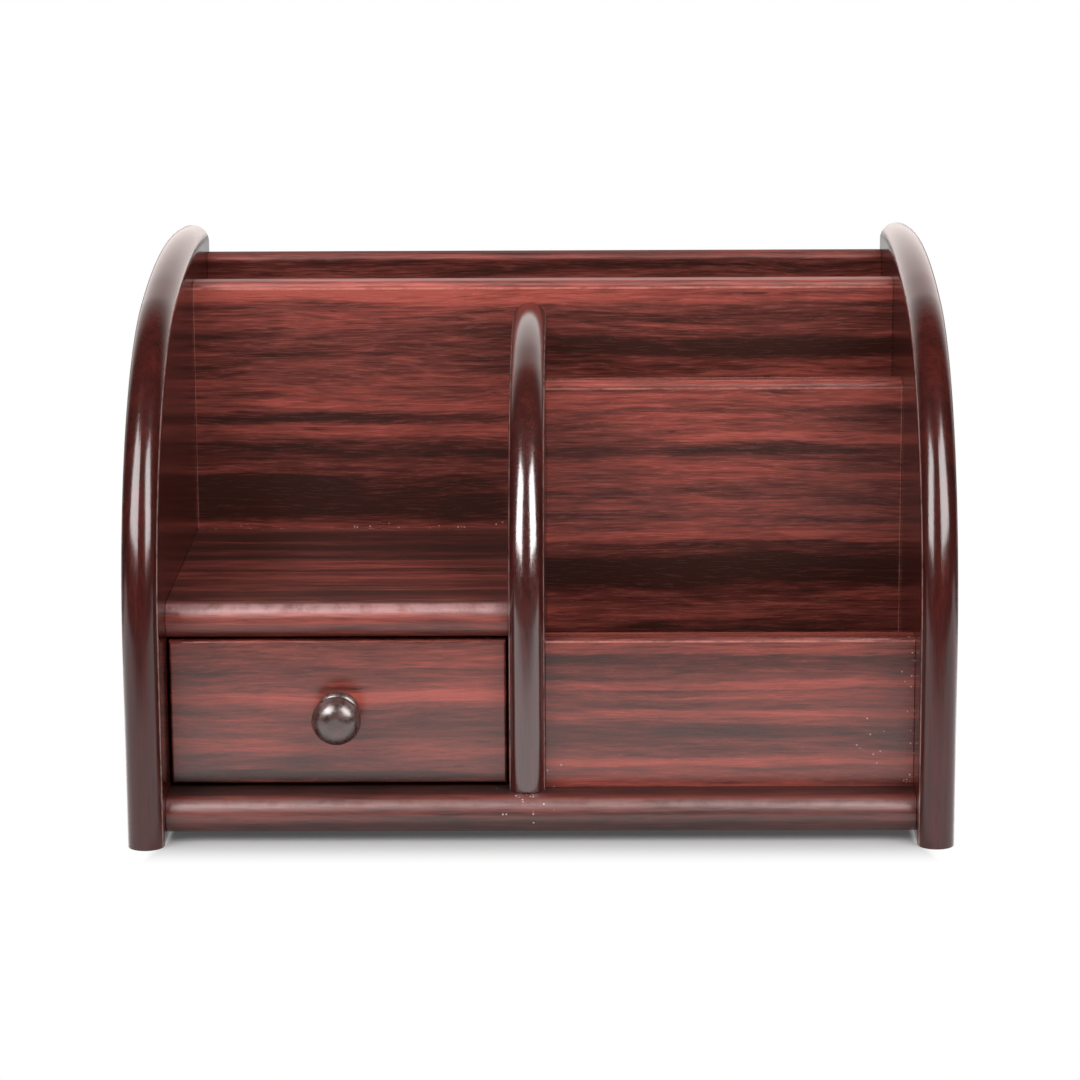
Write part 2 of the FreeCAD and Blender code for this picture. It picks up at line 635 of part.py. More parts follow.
WIDE_PANEL = ("inner_left_x", "inner_width", "inner_right_x")
BAY_PANEL = ("divider_right_x", "right_bay_width", "inner_right_x")
bored_panel("back_panel", *WIDE_PANEL, "back_setback", "back_height", "panel_front_round",
            BACK_POINTS, BACK_SCREWS)
middle = bored_panel("middle_panel", *WIDE_PANEL, "middle_setback", "middle_height",
                     "panel_front_round", MIDDLE_POINTS, MIDDLE_SCREWS)
bore(middle, "middle_divider_bores", "XZ_Plane", "middle_setback", DIVIDER_POINTS,
     "panel_bore_radius", "divider_panel_bore_depth")
bored_panel("pocket_panel", *BAY_PANEL, "pocket_setback", "pocket_height", "panel_front_round",
            POCKET_POINTS, POCKET_SCREWS)
bored_panel("pen_tray_panel", *BAY_PANEL, "tray_setback", "tray_height", "tray_top_round",
            TRAY_POINTS, TRAY_SCREWS)


# Dowels and other round fasteners
def round_pins(label, runs, radius, length, bevel=None):
    """Make one node of equal round pins, with bevelled ends where a bevel is given."""
    body = new_body(label, True)
    for index, (role, lift, points, turned) in enumerate(runs):
        sketch = new_sketch(body, "%s_sketch_%d" % (label, index), role, lift)
        draw_circles(sketch, points, radius)
        extrude(body, sketch, "%s_pad_%d" % (label, index), length, turned)
    if bevel is not None:
        dress(body, "Chamfer", label + "_ends", lambda edge: isinstance(edge.Curve, Part.Circle), bevel)
    return body


BOARD_PIN = ("dowel_radius", "dowel_length", "dowel_end_bevel")
PANEL_PIN = ("panel_dowel_radius", "panel_dowel_length", "dowel_end_bevel")
round_pins("base_dowels", [
    ("YZ_Plane", "left_dowel_x", BASE_POINTS, False),
    ("YZ_Plane", "right_dowel_x", BASE_POINTS, False),
], *BOARD_PIN)
round_pins("shelf_dowels", [
    ("YZ_Plane", "left_dowel_x", SHELF_POINTS, False),
    ("YZ_Plane", "shelf_dowel_x", SHELF_POINTS, False),
], *BOARD_PIN)
round_pins("middle_panel_dowels", [
    ("YZ_Plane", "left_dowel_x", MIDDLE_POINTS, False),
    ("YZ_Plane", "right_panel_dowel_x", MIDDLE_POINTS, False),
], *PANEL_PIN)
round_pins("back_panel_dowels", [
    ("YZ_Plane", "left_dowel_x", BACK_POINTS, False),
    ("YZ_Plane", "right_panel_dowel_x", BACK_POINTS, False),
], *PANEL_PIN)
round_pins("pocket_panel_dowels", [
    ("YZ_Plane", "bay_panel_dowel_x", POCKET_POINTS, False),
    ("YZ_Plane", "right_panel_dowel_x", POCKET_POINTS, False),
], *PANEL_PIN)
round_pins("pen_tray_dowels", [
    ("YZ_Plane", "bay_panel_dowel_x", TRAY_POINTS, False),
    ("YZ_Plane", "right_panel_dowel_x", TRAY_POINTS, False),
], *PANEL_PIN)
round_pins("divider_dowels", [("XZ_Plane", "divider_dowel_y", DIVIDER_POINTS, False)], *PANEL_PIN)


# Countersunk screws under the base
def stand_at(thing, point, height):
    """Stand a turned primitive at a point of the plan."""
    thing.setExpression("Placement.Base.x", "sizes.%s + sizes.shift_x" % point[0])
    thing.setExpression("Placement.Base.y", "sizes.%s + sizes.shift_y" % point[1])
    bound(thing, "Placement.Base.z", height)


screws = []
for index, point in enumerate(BASE_SCREWS):
    shank = doc.addObject("Part::Cylinder", "screw_shank_%d" % index)
    bound(shank, "Radius", "screw_radius")
    bound(shank, "Height", "screw_shank_length")
    stand_at(shank, point, "base_lift")
    head = doc.addObject("Part::Cone", "screw_head_%d" % index)
    bound(head, "Radius1", "screw_head_radius")
    bound(head, "Radius2", "screw_radius")
    bound(head, "Height", "screw_head_height")
    stand_at(head, point, "base_lift")
    tip = doc.addObject("Part::Cone", "screw_tip_%d" % index)
    bound(tip, "Radius1", "screw_radius")
    bound(tip, "Radius2", "screw_tip_radius")
    bound(tip, "Height", "screw_tip_length")
    stand_at(tip, point, "screw_tip_z")
    screw = doc.addObject("Part::MultiFuse", "screw_%d" % index)
    screw.Shapes = [shank, head, tip]
    screw.Refine = True
    screws.append(screw)
base_screws = doc.addObject("Part::Compound", "base_screws")
base_screws.Label = "base_screws"
base_screws.Links = screws
nodes.append(base_screws)

# Drawer front with rabbets for the sides and a groove for the bottom
drawer_front = new_body("drawer_front")
face = new_sketch(drawer_front, "drawer_front_outline", "XZ_Plane", "drawer_setback")
draw_box(face, "drawer_left_x", "drawer_front_z", "drawer_width", "drawer_front_height")
extrude(drawer_front, face, "drawer_front_pad", "panel_thickness", True)


def on_face_rim(edge):
    """Find the four edges round the drawer's face."""
    box = edge.BoundBox
    return near(box.YMin, size("drawer_setback")) and near(box.YMax, size("drawer_setback"))


dress(drawer_front, "Fillet", "drawer_front_rim", on_face_rim, "drawer_front_round")
rabbets = new_sketch(drawer_front, "rabbet_sketch", "XZ_Plane", "drawer_rear_face_y")
draw_box(rabbets, "drawer_left_x", "drawer_front_z", "rabbet_width", "drawer_front_height")
draw_box(rabbets, "rabbet_right_x", "drawer_front_z", "rabbet_width", "drawer_front_height")
cut_away(drawer_front, rabbets, "rabbets", "rabbet_depth", True)
front_groove = new_sketch(drawer_front, "front_groove_sketch", "XZ_Plane", "drawer_rear_face_y")
draw_box(front_groove, "box_inner_left_x", "groove_low_z", "box_inner_width", "groove_height")
cut_away(drawer_front, front_groove, "front_groove", "groove_depth", True)
KNOB_POINT = [("drawer_middle_x", "drawer_middle_z")]
bore(drawer_front, "knob_screw_passage_bore", "XZ_Plane", "drawer_setback", KNOB_POINT,
     "knob_screw_passage", "panel_thickness")
bore(drawer_front, "front_left_brad_bores", "YZ_Plane", "box_inner_left_x", FRONT_BRADS,
     "brad_bore_radius", "brad_bore_depth", True)
bore(drawer_front, "front_right_brad_bores", "YZ_Plane", "box_inner_right_x", FRONT_BRADS,
     "brad_bore_radius", "brad_bore_depth")


# Drawer sides, back and bottom
def drawer_side(label, left, groove_x, groove_turned, bore_x, bore_turned):
    """Make one grooved side of the drawer box."""
    body = new_body(label)
    outline = new_sketch(body, label + "_outline", "YZ_Plane", left)
    draw_box(outline, "box_front_y", "box_low_z", "box_length", "drawer_side_height")
    extrude(body, outline, label + "_pad", "drawer_side_thickness")
    top_z = size("box_low_z") + size("drawer_side_height")

    def on_top(edge):
        return near(edge_middle(edge).z, top_z) and along(edge, FreeCAD.Vector(0, 1, 0))

    dress(body, "Fillet", label + "_top", on_top, "drawer_top_round")
    groove = new_sketch(body, label + "_groove_sketch", "YZ_Plane", groove_x)
    draw_box(groove, "box_front_y", "groove_low_z", "box_length", "groove_height")
    cut_away(body, groove, label + "_groove", "groove_depth", groove_turned)
    bore(body, label + "_brad_bores", "YZ_Plane", bore_x, FRONT_BRADS + REAR_BRADS,
         "brad_bore_radius", "drawer_side_thickness", bore_turned)
    return body


drawer_side("drawer_left_side", "box_left_x", "box_inner_left_x", False, "box_left_x", True)
drawer_side("drawer_right_side", "box_inner_right_x", "box_inner_right_x", True, "box_right_x", False)
drawer_back = new_body("drawer_back")
outline = new_sketch(drawer_back, "drawer_back_outline", "XZ_Plane", "box_back_y")
draw_box(outline, "box_inner_left_x", "box_low_z", "box_inner_width", "drawer_side_height")
extrude(drawer_back, outline, "drawer_back_pad", "drawer_side_thickness", True)


def on_back_top(edge):
    """Find the two long top edges of the drawer's back."""
    top_z = size("box_low_z") + size("drawer_side_height")
    return near(edge_middle(edge).z, top_z) and along(edge, FreeCAD.Vector(1, 0, 0))


dress(drawer_back, "Fillet", "drawer_back_top", on_back_top, "drawer_top_round")
back_groove = new_sketch(drawer_back, "back_groove_sketch", "XZ_Plane", "box_back_y")
draw_box(back_groove, "box_inner_left_x", "groove_low_z", "box_inner_width", "groove_height")
cut_away(drawer_back, back_groove, "back_groove", "groove_depth")
bore(drawer_back, "back_left_brad_bores", "YZ_Plane", "box_inner_left_x", REAR_BRADS,
     "brad_bore_radius", "brad_bore_depth", True)
bore(drawer_back, "back_right_brad_bores", "YZ_Plane", "box_inner_right_x", REAR_BRADS,
     "brad_bore_radius", "brad_bore_depth")
drawer_bottom = new_body("drawer_bottom")
outline = new_sketch(drawer_bottom, "drawer_bottom_outline", "XY_Plane", "bottom_low_z")
draw_box(outline, "bottom_left_x", "bottom_front_y", "bottom_width", "bottom_depth")
extrude(drawer_bottom, outline, "drawer_bottom_pad", "drawer_bottom_thickness")
round_pins("drawer_brads", [
    ("YZ_Plane", "box_left_x", FRONT_BRADS + REAR_BRADS, False),
    ("YZ_Plane", "brad_right_x", FRONT_BRADS + REAR_BRADS, False),
], "brad_radius", "brad_length")


# Turned knob and its screw
def turned(label, corners):
    """Revolve an outline about the knob's axis."""
    body = new_body(label)
    outline = new_sketch(body, label + "_outline", "YZ_Plane", "drawer_middle_x")
    draw_loop(outline, corners)
    feature = body.newObject("PartDesign::Revolution", label + "_turning")
    feature.Profile = outline
    feature.ReferenceAxis = (outline, ["Edge%d" % len(corners)])
    feature.Angle = FULL_TURN
    body.Tip = feature
    doc.recompute()
    return body


def on_ring(across, radius):
    """Return a test for a circular edge at one place along the knob's axis."""
    def wanted(edge):
        if not isinstance(edge.Curve, Part.Circle):
            return False
        return near(edge.Curve.Center.y, size(across)) and near(edge.Curve.Radius, size(radius))

    return wanted


knob = turned("drawer_knob", [
    ("drawer_setback", "drawer_middle_z"),
    ("drawer_setback", "knob_collar_z"),
    ("knob_collar_y", "knob_collar_z"),
    ("knob_neck_rear_y", "knob_neck_z"),
    ("knob_neck_front_y", "knob_neck_z"),
    ("knob_head_rear_y", "knob_head_z"),
    ("knob_front_y", "knob_head_z"),
    ("knob_front_y", "drawer_middle_z"),
])
dress(knob, "Fillet", "knob_rim", on_ring("knob_front_y", "knob_head_radius"), "knob_rim_round")
dress(knob, "Fillet", "knob_head_back", on_ring("knob_head_rear_y", "knob_head_radius"), "knob_back_round")
dress(knob, "Fillet", "knob_neck_front", on_ring("knob_neck_front_y", "knob_neck_radius"), "knob_neck_round")
dress(knob, "Fillet", "knob_neck_rear", on_ring("knob_neck_rear_y", "knob_neck_radius"), "knob_neck_round")
dress(knob, "Fillet", "knob_collar_edge", on_ring("knob_collar_y", "knob_collar_radius"),
      "knob_collar_round")
bore(knob, "knob_bore", "XZ_Plane", "drawer_setback", KNOB_POINT,
     "knob_bore_radius", "knob_bore_depth", True)
knob_screw = turned("knob_screw", [
    ("knob_screw_tip_y", "drawer_middle_z"),
    ("knob_screw_tip_y", "knob_screw_shank_z"),
    ("drawer_rear_face_y", "knob_screw_shank_z"),
    ("drawer_rear_face_y", "knob_screw_head_z"),
    ("knob_screw_top_y", "knob_screw_head_z"),
    ("knob_screw_top_y", "drawer_middle_z"),
])
dress(knob_screw, "Fillet", "knob_screw_head", on_ring("knob_screw_top_y", "knob_screw_head_radius"),
      "knob_screw_head_round")
dress(knob_screw, "Chamfer", "knob_screw_tip", on_ring("knob_screw_tip_y", "knob_screw_radius"),
      "knob_screw_tip_bevel")
for arm, across, up, wide, high in (
    ("long_arm", "recess_long_x", "recess_long_z", "recess_long", "recess_wide"),
    ("tall_arm", "recess_tall_x", "recess_tall_z", "recess_wide", "recess_long"),
):
    cross = new_sketch(knob_screw, arm + "_sketch", "XZ_Plane", "knob_screw_top_y")
    draw_box(cross, across, up, wide, high)
    cut_away(knob_screw, cross, arm, "recess_depth", True)

doc.recompute()

# Check every object, then export each node
for item in doc.Objects:
    if "Invalid" in item.State or "Error" in item.State:
        raise ValueError("%s is in state %s" % (item.Label, item.State))
for node in nodes:
    shape = node.Shape
    if shape.isNull() or not shape.isValid():
        raise ValueError("%s has no valid shape" % node.Label)
    shape.exportStep("parts/%s.step" % node.Label)
    box = shape.BoundBox
    print("%-22s solids %d volume %.1f box %.2f %.2f %.2f to %.2f %.2f %.2f" % (
        node.Label, len(shape.Solids), shape.Volume,
        box.XMin, box.YMin, box.ZMin, box.XMax, box.YMax, box.ZMax))
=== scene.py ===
"""Finished look of a desk organiser with a drawer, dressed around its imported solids."""

import logging
import math
from dataclasses import dataclass, replace
from enum import Enum
from functools import cache
from typing import Any, Callable, Sequence

import bmesh
import bpy
from mathutils import Matrix, Vector


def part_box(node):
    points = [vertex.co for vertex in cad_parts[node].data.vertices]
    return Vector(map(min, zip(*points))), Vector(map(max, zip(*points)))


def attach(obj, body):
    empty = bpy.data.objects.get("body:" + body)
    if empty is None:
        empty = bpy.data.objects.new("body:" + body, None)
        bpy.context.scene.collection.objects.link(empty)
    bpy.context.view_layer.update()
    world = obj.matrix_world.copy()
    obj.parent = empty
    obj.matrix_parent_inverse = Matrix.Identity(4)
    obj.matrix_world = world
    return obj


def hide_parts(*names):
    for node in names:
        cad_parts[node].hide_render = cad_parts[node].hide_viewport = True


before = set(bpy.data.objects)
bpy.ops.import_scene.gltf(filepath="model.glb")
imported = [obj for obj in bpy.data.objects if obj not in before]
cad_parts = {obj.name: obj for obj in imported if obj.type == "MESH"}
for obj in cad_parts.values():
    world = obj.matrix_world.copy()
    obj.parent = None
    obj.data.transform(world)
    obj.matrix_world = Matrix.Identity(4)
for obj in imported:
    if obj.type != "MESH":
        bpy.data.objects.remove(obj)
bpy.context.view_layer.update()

LOG = logging.getLogger("desk_organiser")
MM = 0.001
UPWARD = Vector((0.0, 0.0, 1.0))
FORWARD = Vector((0.0, -1.0, 0.0))
SLACK = 0.01 * MM
SMOOTH_ANGLE = math.radians(32.0)
EASE_ANGLE = math.radians(40.0)
NOISE_SPREAD = (0.3, 0.7)
MIX_FIRST, MIX_SECOND, MIX_RESULT = 6, 7, 2
LAMP_AIM = (0.0, -0.05, 0.1)
Colour = tuple[float, float, float]
Place = tuple[float, float, float]
Stops = tuple[tuple[float, Colour], ...]
Test = Callable[[Any], bool]


class Grain(Enum):
    """The way that the grain runs, as the turn that brings the pattern's fibres along it."""

    ALONG_WIDTH = (0.0, 0.0, 0.0)
    ALONG_HEIGHT = (0.0, math.pi / 2, 0.0)


class Body(Enum):
    """The two bodies that pieces ride on."""

    CARCASS = "carcass"
    DRAWER = "drawer"


# Shaping on the bench


class Blank:
    """One piece on the bench, shaped with edit-mode tools."""

    def __init__(self, name: str) -> None:
        """Take the active object as the blank and put its place into its mesh.

        Args:
            name: Name of the piece.
        """
        self.piece: bpy.types.Object = bpy.context.view_layer.objects.active
        self.piece.name = name
        self.piece.data.name = name
        bpy.ops.object.transform_apply(location=True, rotation=True, scale=True)

    @classmethod
    def block(cls, name: str, low: Vector, high: Vector) -> "Blank":
        """Start from a block.

        Args:
            name: Name of the piece.
            low: Lowest corner.
            high: Highest corner.

        Returns:
            The blank.
        """
        clear_selection()
        middle = (low + high) / 2
        bpy.ops.mesh.primitive_cube_add(size=1.0, location=middle, scale=high - low)
        return cls(name)

    @classmethod
    def disc(cls, name: str, middle: Vector, radius: float, turn: Place, count: int) -> "Blank":
        """Start from a filled disc.

        Args:
            name: Name of the piece.
            middle: Centre of the disc.
            radius: Radius of the disc.
            turn: Rotation of the disc in radians.
            count: Number of points round it.

        Returns:
            The blank.
        """
        clear_selection()
        bpy.ops.mesh.primitive_circle_add(
            vertices=count, radius=radius, fill_type="NGON", location=middle, rotation=turn
        )
        return cls(name)

    def edit(self) -> None:
        """Enter edit mode on this piece alone."""
        only(self.piece)
        bpy.ops.object.mode_set(mode="EDIT")

    def leave(self) -> None:
        """Leave edit mode."""
        bpy.ops.object.mode_set(mode="OBJECT")

    def pick_edges(self, test: Test) -> int:
        """Select the edges that pass a test.

        Args:
            test: Tells whether an edge is wanted.

        Returns:
            The number of edges selected.
        """
        bpy.ops.mesh.select_mode(type="EDGE")
        bpy.ops.mesh.select_all(action="DESELECT")
        mesh = bmesh.from_edit_mesh(self.piece.data)
        wanted = [edge for edge in mesh.edges if test(edge)]
        for edge in wanted:
            edge.select_set(True)
        bmesh.update_edit_mesh(self.piece.data)
        return len(wanted)

    def slice_off(self, point: Vector, normal: Vector) -> None:
        """Cut away what lies beyond a plane and close the cut.

        Args:
            point: A point of the plane.
            normal: The side that is cut away.
        """
        bpy.ops.mesh.select_all(action="SELECT")
        bpy.ops.mesh.bisect(plane_co=point, plane_no=normal, use_fill=True, clear_outer=True)

    def round_edges(self, test: Test, radius: float, facets: int) -> None:
        """Round the edges that pass a test.

        Args:
            test: Tells whether an edge is wanted.
            radius: Radius of the round.
            facets: Facets across the round.
        """
        if self.pick_edges(test) == 0:
            raise ValueError(f"no edge to round on {self.piece.name}")
        bpy.ops.mesh.bevel(offset=radius, segments=facets, profile=0.5, clamp_overlap=False)

    def modify(self, kind: str, **settings: Any) -> None:
        """Add a modifier and apply it.

        Args:
            kind: Type of the modifier.
            **settings: Its settings.
        """
        only(self.piece)
        modifier = self.piece.modifiers.new(kind.title(), kind)
        for key, value in settings.items():
            setattr(modifier, key, value)
        bpy.ops.object.modifier_apply(modifier=modifier.name)

    def cut(self, cutter: "Blank") -> None:
        """Take the shape of a cutter out of the piece and drop the cutter.

        Args:
            cutter: The shape to remove.
        """
        self.modify("BOOLEAN", operation="DIFFERENCE", solver="EXACT", object=cutter.piece)
        bpy.data.objects.remove(cutter.piece, do_unlink=True)

    def draw_out(self, start: Vector, along: Vector, run: float, growth: float = 1.0) -> Vector:
        """Extrude the selected end and change its width.

        Args:
            start: Middle of the end before the move.
            along: Unit direction of the move, along an axis.
            run: Length of the move.
            growth: Factor on the width.

        Returns:
            Middle of the end after the move.
        """
        end = start + along * run
        bpy.ops.mesh.extrude_region_move(TRANSFORM_OT_translate={"value": along * run})
        factors = [1.0 if abs(part) > 0.5 else growth for part in along]
        bpy.ops.transform.resize(value=factors, center_override=end)
        return end

    def face_outwards(self) -> None:
        """Turn every face outwards."""
        bpy.ops.mesh.select_all(action="SELECT")
        bpy.ops.mesh.normals_make_consistent(inside=False)

    def ease(self, width: float) -> None:
        """Break the sharp edges.

        Args:
            width: Width of the break.
        """
        self.modify(
            "BEVEL",
            width=width,
            segments=2,
            limit_method="ANGLE",
            angle_limit=EASE_ANGLE,
            use_clamp_overlap=False,
        )

    def dress(self, body: Body, slot: str, finish: bpy.types.Material, nodes: Sequence[str]) -> None:
        """Smooth the piece, give it its finish and set it in the frame.

        Args:
            body: Body that it rides on.
            slot: Material slot of the record; not used.
            finish: Material that it gets.
            nodes: CAD nodes that it stands for.
        """
        only(self.piece)
        bpy.ops.object.shade_smooth_by_angle(angle=SMOOTH_ANGLE)
        self.modify("WEIGHTED_NORMAL", keep_sharp=True)
        self.piece.data.materials.clear()
        self.piece.data.materials.append(finish)
        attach(self.piece, body.value)
        if nodes:
            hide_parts(*nodes)
        LOG.info("%s: %d faces on %s", self.piece.name, len(self.piece.data.polygons), body.value)


def clear_selection() -> None:
    """Deselect everything."""
    if bpy.context.view_layer.objects.active is not None and bpy.context.mode != "OBJECT":
        bpy.ops.object.mode_set(mode="OBJECT")
    bpy.ops.object.select_all(action="DESELECT")


def only(piece: bpy.types.Object) -> None:
    """Make one object the whole selection.

    Args:
        piece: The object.
    """
    clear_selection()
    piece.select_set(True)
    bpy.context.view_layer.objects.active = piece


def gather(blanks: Sequence[Blank]) -> Blank:
    """Join several blanks into the first one.

    Args:
        blanks: The blanks to join.

    Returns:
        The joined blank.
    """
    only(blanks[0].piece)
    for blank in blanks[1:]:
        blank.piece.select_set(True)
    bpy.ops.object.join()
    return blanks[0]


def same(first: float, second: float) -> bool:
    """Tell whether two lengths are the same within the slack."""
    return abs(first - second) < SLACK


def along_width(edge: Any) -> bool:
    """Tell whether an edge runs along the width."""
    first, second = (point.co for point in edge.verts)
    return same(first.y, second.y) and same(first.z, second.z)


def in_plane(place: Vector, normal: Vector) -> Test:
    """Make the test for the edges that lie in a plane.

    Args:
        place: A point of the plane.
        normal: Its unit normal.

    Returns:
        The test.
    """
    return lambda edge: all(same((point.co - place).dot(normal), 0.0) for point in edge.verts)


def middle_of(node: str) -> Vector:
    """Return the middle of a CAD node's box."""
    low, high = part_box(node)
    return (low + high) / 2


def rear_of(node: str) -> Vector:
    """Return the middle of the rear face of a CAD node's box."""
    low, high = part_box(node)
    return Vector(((low.x + high.x) / 2, high.y, (low.z + high.z) / 2))


# Shader graphs


class Graph:
    """A shader graph under construction."""

    def __init__(self, tree: bpy.types.NodeTree) -> None:
        """Keep the tree that nodes are added to."""
        self.tree = tree

    def node(self, kind: str, **settings: Any) -> bpy.types.Node:
        """Add a node.

        Args:
            kind: Node type, without its prefix.
            **settings: Its settings.

        Returns:
            The node.
        """
        made = self.tree.nodes.new("ShaderNode" + kind)
        for key, value in settings.items():
            setattr(made, key, value)
        return made

    def feed(self, socket: bpy.types.NodeSocket, value: Any) -> None:
        """Link a socket to an output, or set its value.

        Args:
            socket: The socket.
            value: An output or a plain value.
        """
        if isinstance(value, bpy.types.NodeSocket):
            self.tree.links.new(value, socket)
        else:
            socket.default_value = value

    def fill(self, node: bpy.types.Node, **values: Any) -> None:
        """Feed a node's inputs by name.

        Args:
            node: The node.
            **values: Inputs by name, with underscores for spaces.
        """
        for key, value in values.items():
            self.feed(node.inputs[key.replace("_", " ")], value)

    def sum(self, operation: str, first: Any, second: Any = 0.0, third: Any = 0.0) -> Any:
        """Add a Math node.

        Args:
            operation: Its operation.
            first: First input.
            second: Second input.
            third: Third input.

        Returns:
            Its output.
        """
        made = self.node("Math", operation=operation)
        for socket, value in zip(made.inputs, (first, second, third)):
            self.feed(socket, value)
        return made.outputs[0]

    def vector(self, operation: str, first: Any, second: Any = (0.0, 0.0, 0.0)) -> Any:
        """Add a Vector Math node.

        Args:
            operation: Its operation.
            first: First input.
            second: Second input.

        Returns:
            Its value for a length or a dot product, or else its vector.
        """
        made = self.node("VectorMath", operation=operation)
        self.feed(made.inputs[0], first)
        self.feed(made.inputs[1], second)
        return made.outputs["Value" if operation in ("LENGTH", "DOT_PRODUCT") else "Vector"]

    def axis(self, place: Any, name: str) -> Any:
        """Take one axis of a vector.

        Args:
            place: The vector.
            name: The axis, X, Y or Z.

        Returns:
            The value.
        """
        made = self.node("SeparateXYZ")
        self.feed(made.inputs[0], place)
        return made.outputs[name]

    def largest(self, first: Any, *others: Any) -> Any:
        """Find the largest of several values.

        Args:
            first: The first value.
            *others: The other values.

        Returns:
            The largest value.
        """
        for other in others:
            first = self.sum("MAXIMUM", first, other)
        return first

    def noise(self, place: Any, scale: float, detail: float = 2.0, rough: float = 0.5) -> Any:
        """Add a Noise texture.

        Args:
            place: Where it is read.
            scale: Its scale.
            detail: Its detail.
            rough: Its roughness.

        Returns:
            Its value.
        """
        made = self.node("TexNoise")
        self.fill(made, Vector=place, Scale=scale, Detail=detail, Roughness=rough)
        return made.outputs["Fac"]

    def streaks(
        self, place: Any, along: float, across: float, detail: float = 2.0, rough: float = 0.5
    ) -> Any:
        """Return a noise that is drawn out along X."""
        drawn = self.vector("MULTIPLY", place, (along, across, across))
        return self.noise(drawn, 1.0, detail, rough)

    def distance(self, given: Any) -> Any:
        """Return a group's distance from its place, in the axes that count."""
        apart = self.vector("SUBTRACT", given["Vector"], given["Place"])
        return self.vector("LENGTH", self.vector("MULTIPLY", apart, given["Free"]))

    def swing(self, noise: Any, weight: float, onto: Any = 0.0) -> Any:
        """Add the swing of a noise about one half, times a weight, onto a value."""
        return self.sum("MULTIPLY_ADD", self.sum("SUBTRACT", noise, 0.5), weight, onto)

    def bump(self, height: Any, depth: float) -> bpy.types.Node:
        """Add a Bump node for a relief.

        Args:
            height: The relief.
            depth: Its height.

        Returns:
            The node.
        """
        made = self.node("Bump")
        self.fill(made, Height=height, Distance=depth)
        return made

    def span(self, value: Any, low: Any, high: Any, start: Any = 0.0, end: Any = 1.0) -> Any:
        """Add a smooth Map Range node.

        Args:
            value: The value that is mapped.
            low: Where the range begins.
            high: Where the range ends.
            start: Result at the beginning.
            end: Result at the end.

        Returns:
            Its result.
        """
        made = self.node("MapRange", interpolation_type="SMOOTHSTEP")
        for socket, given in zip(made.inputs, (value, low, high, start, end)):
            self.feed(socket, given)
        return made.outputs[0]

    def fade(self, value: Any, low: Any, high: Any) -> Any:
        """Return one below a range that falls smoothly to zero above it."""
        return self.span(value, low, high, 1.0, 0.0)

    def blend(self, share: Any, first: Any, second: Any) -> Any:
        """Add a colour Mix node.

        Args:
            share: Share of the second colour.
            first: First colour.
            second: Second colour.

        Returns:
            Its result.
        """
        made = self.node("Mix", data_type="RGBA")
        self.feed(made.inputs[0], share)
        self.feed(made.inputs[MIX_FIRST], first)
        self.feed(made.inputs[MIX_SECOND], second)
        return made.outputs[MIX_RESULT]

    def ramp(self, share: Any, stops: Stops) -> Any:
        """Add a Color Ramp node.

        Args:
            share: Place on the ramp.
            stops: Its stops.

        Returns:
            Its colour.
        """
        made = self.node("ValToRGB")
        elements = made.color_ramp.elements
        while len(elements) < len(stops):
            elements.new(1.0)
        for element, (place, colour) in zip(elements, stops):
            element.position = place
            element.color = (*colour, 1.0)
        self.feed(made.inputs[0], share)
        return made.outputs[0]

    def group(self, tree: bpy.types.NodeTree, **values: Any) -> Any:
        """Place a node group.

        Args:
            tree: The group's tree.
            **values: Inputs by name, with underscores for spaces.

        Returns:
            The group's outputs.
        """
        made = self.node("Group", node_tree=tree)
        self.fill(made, **values)
        return made.outputs


def start_group(name: str, takes: dict[str, str], gives: Sequence[str]) -> tuple[Graph, Any, Any]:
    """Make an empty node group with its sockets.

    Args:
        name: Name of the group.
        takes: Names of its inputs with their kinds.
        gives: Names of its outputs, all plain values.

    Returns:
        The group's graph, what comes into it and what goes out.
    """
    tree = bpy.data.node_groups.new(name, "ShaderNodeTree")
    for label, kind in takes.items():
        tree.interface.new_socket(label, in_out="INPUT", socket_type="NodeSocket" + kind)
    for label in gives:
        tree.interface.new_socket(label, in_out="OUTPUT", socket_type="NodeSocketFloat")
    entry = tree.nodes.new("NodeGroupInput")
    leave = tree.nodes.new("NodeGroupOutput")
    return Graph(tree), entry.outputs, leave.inputs


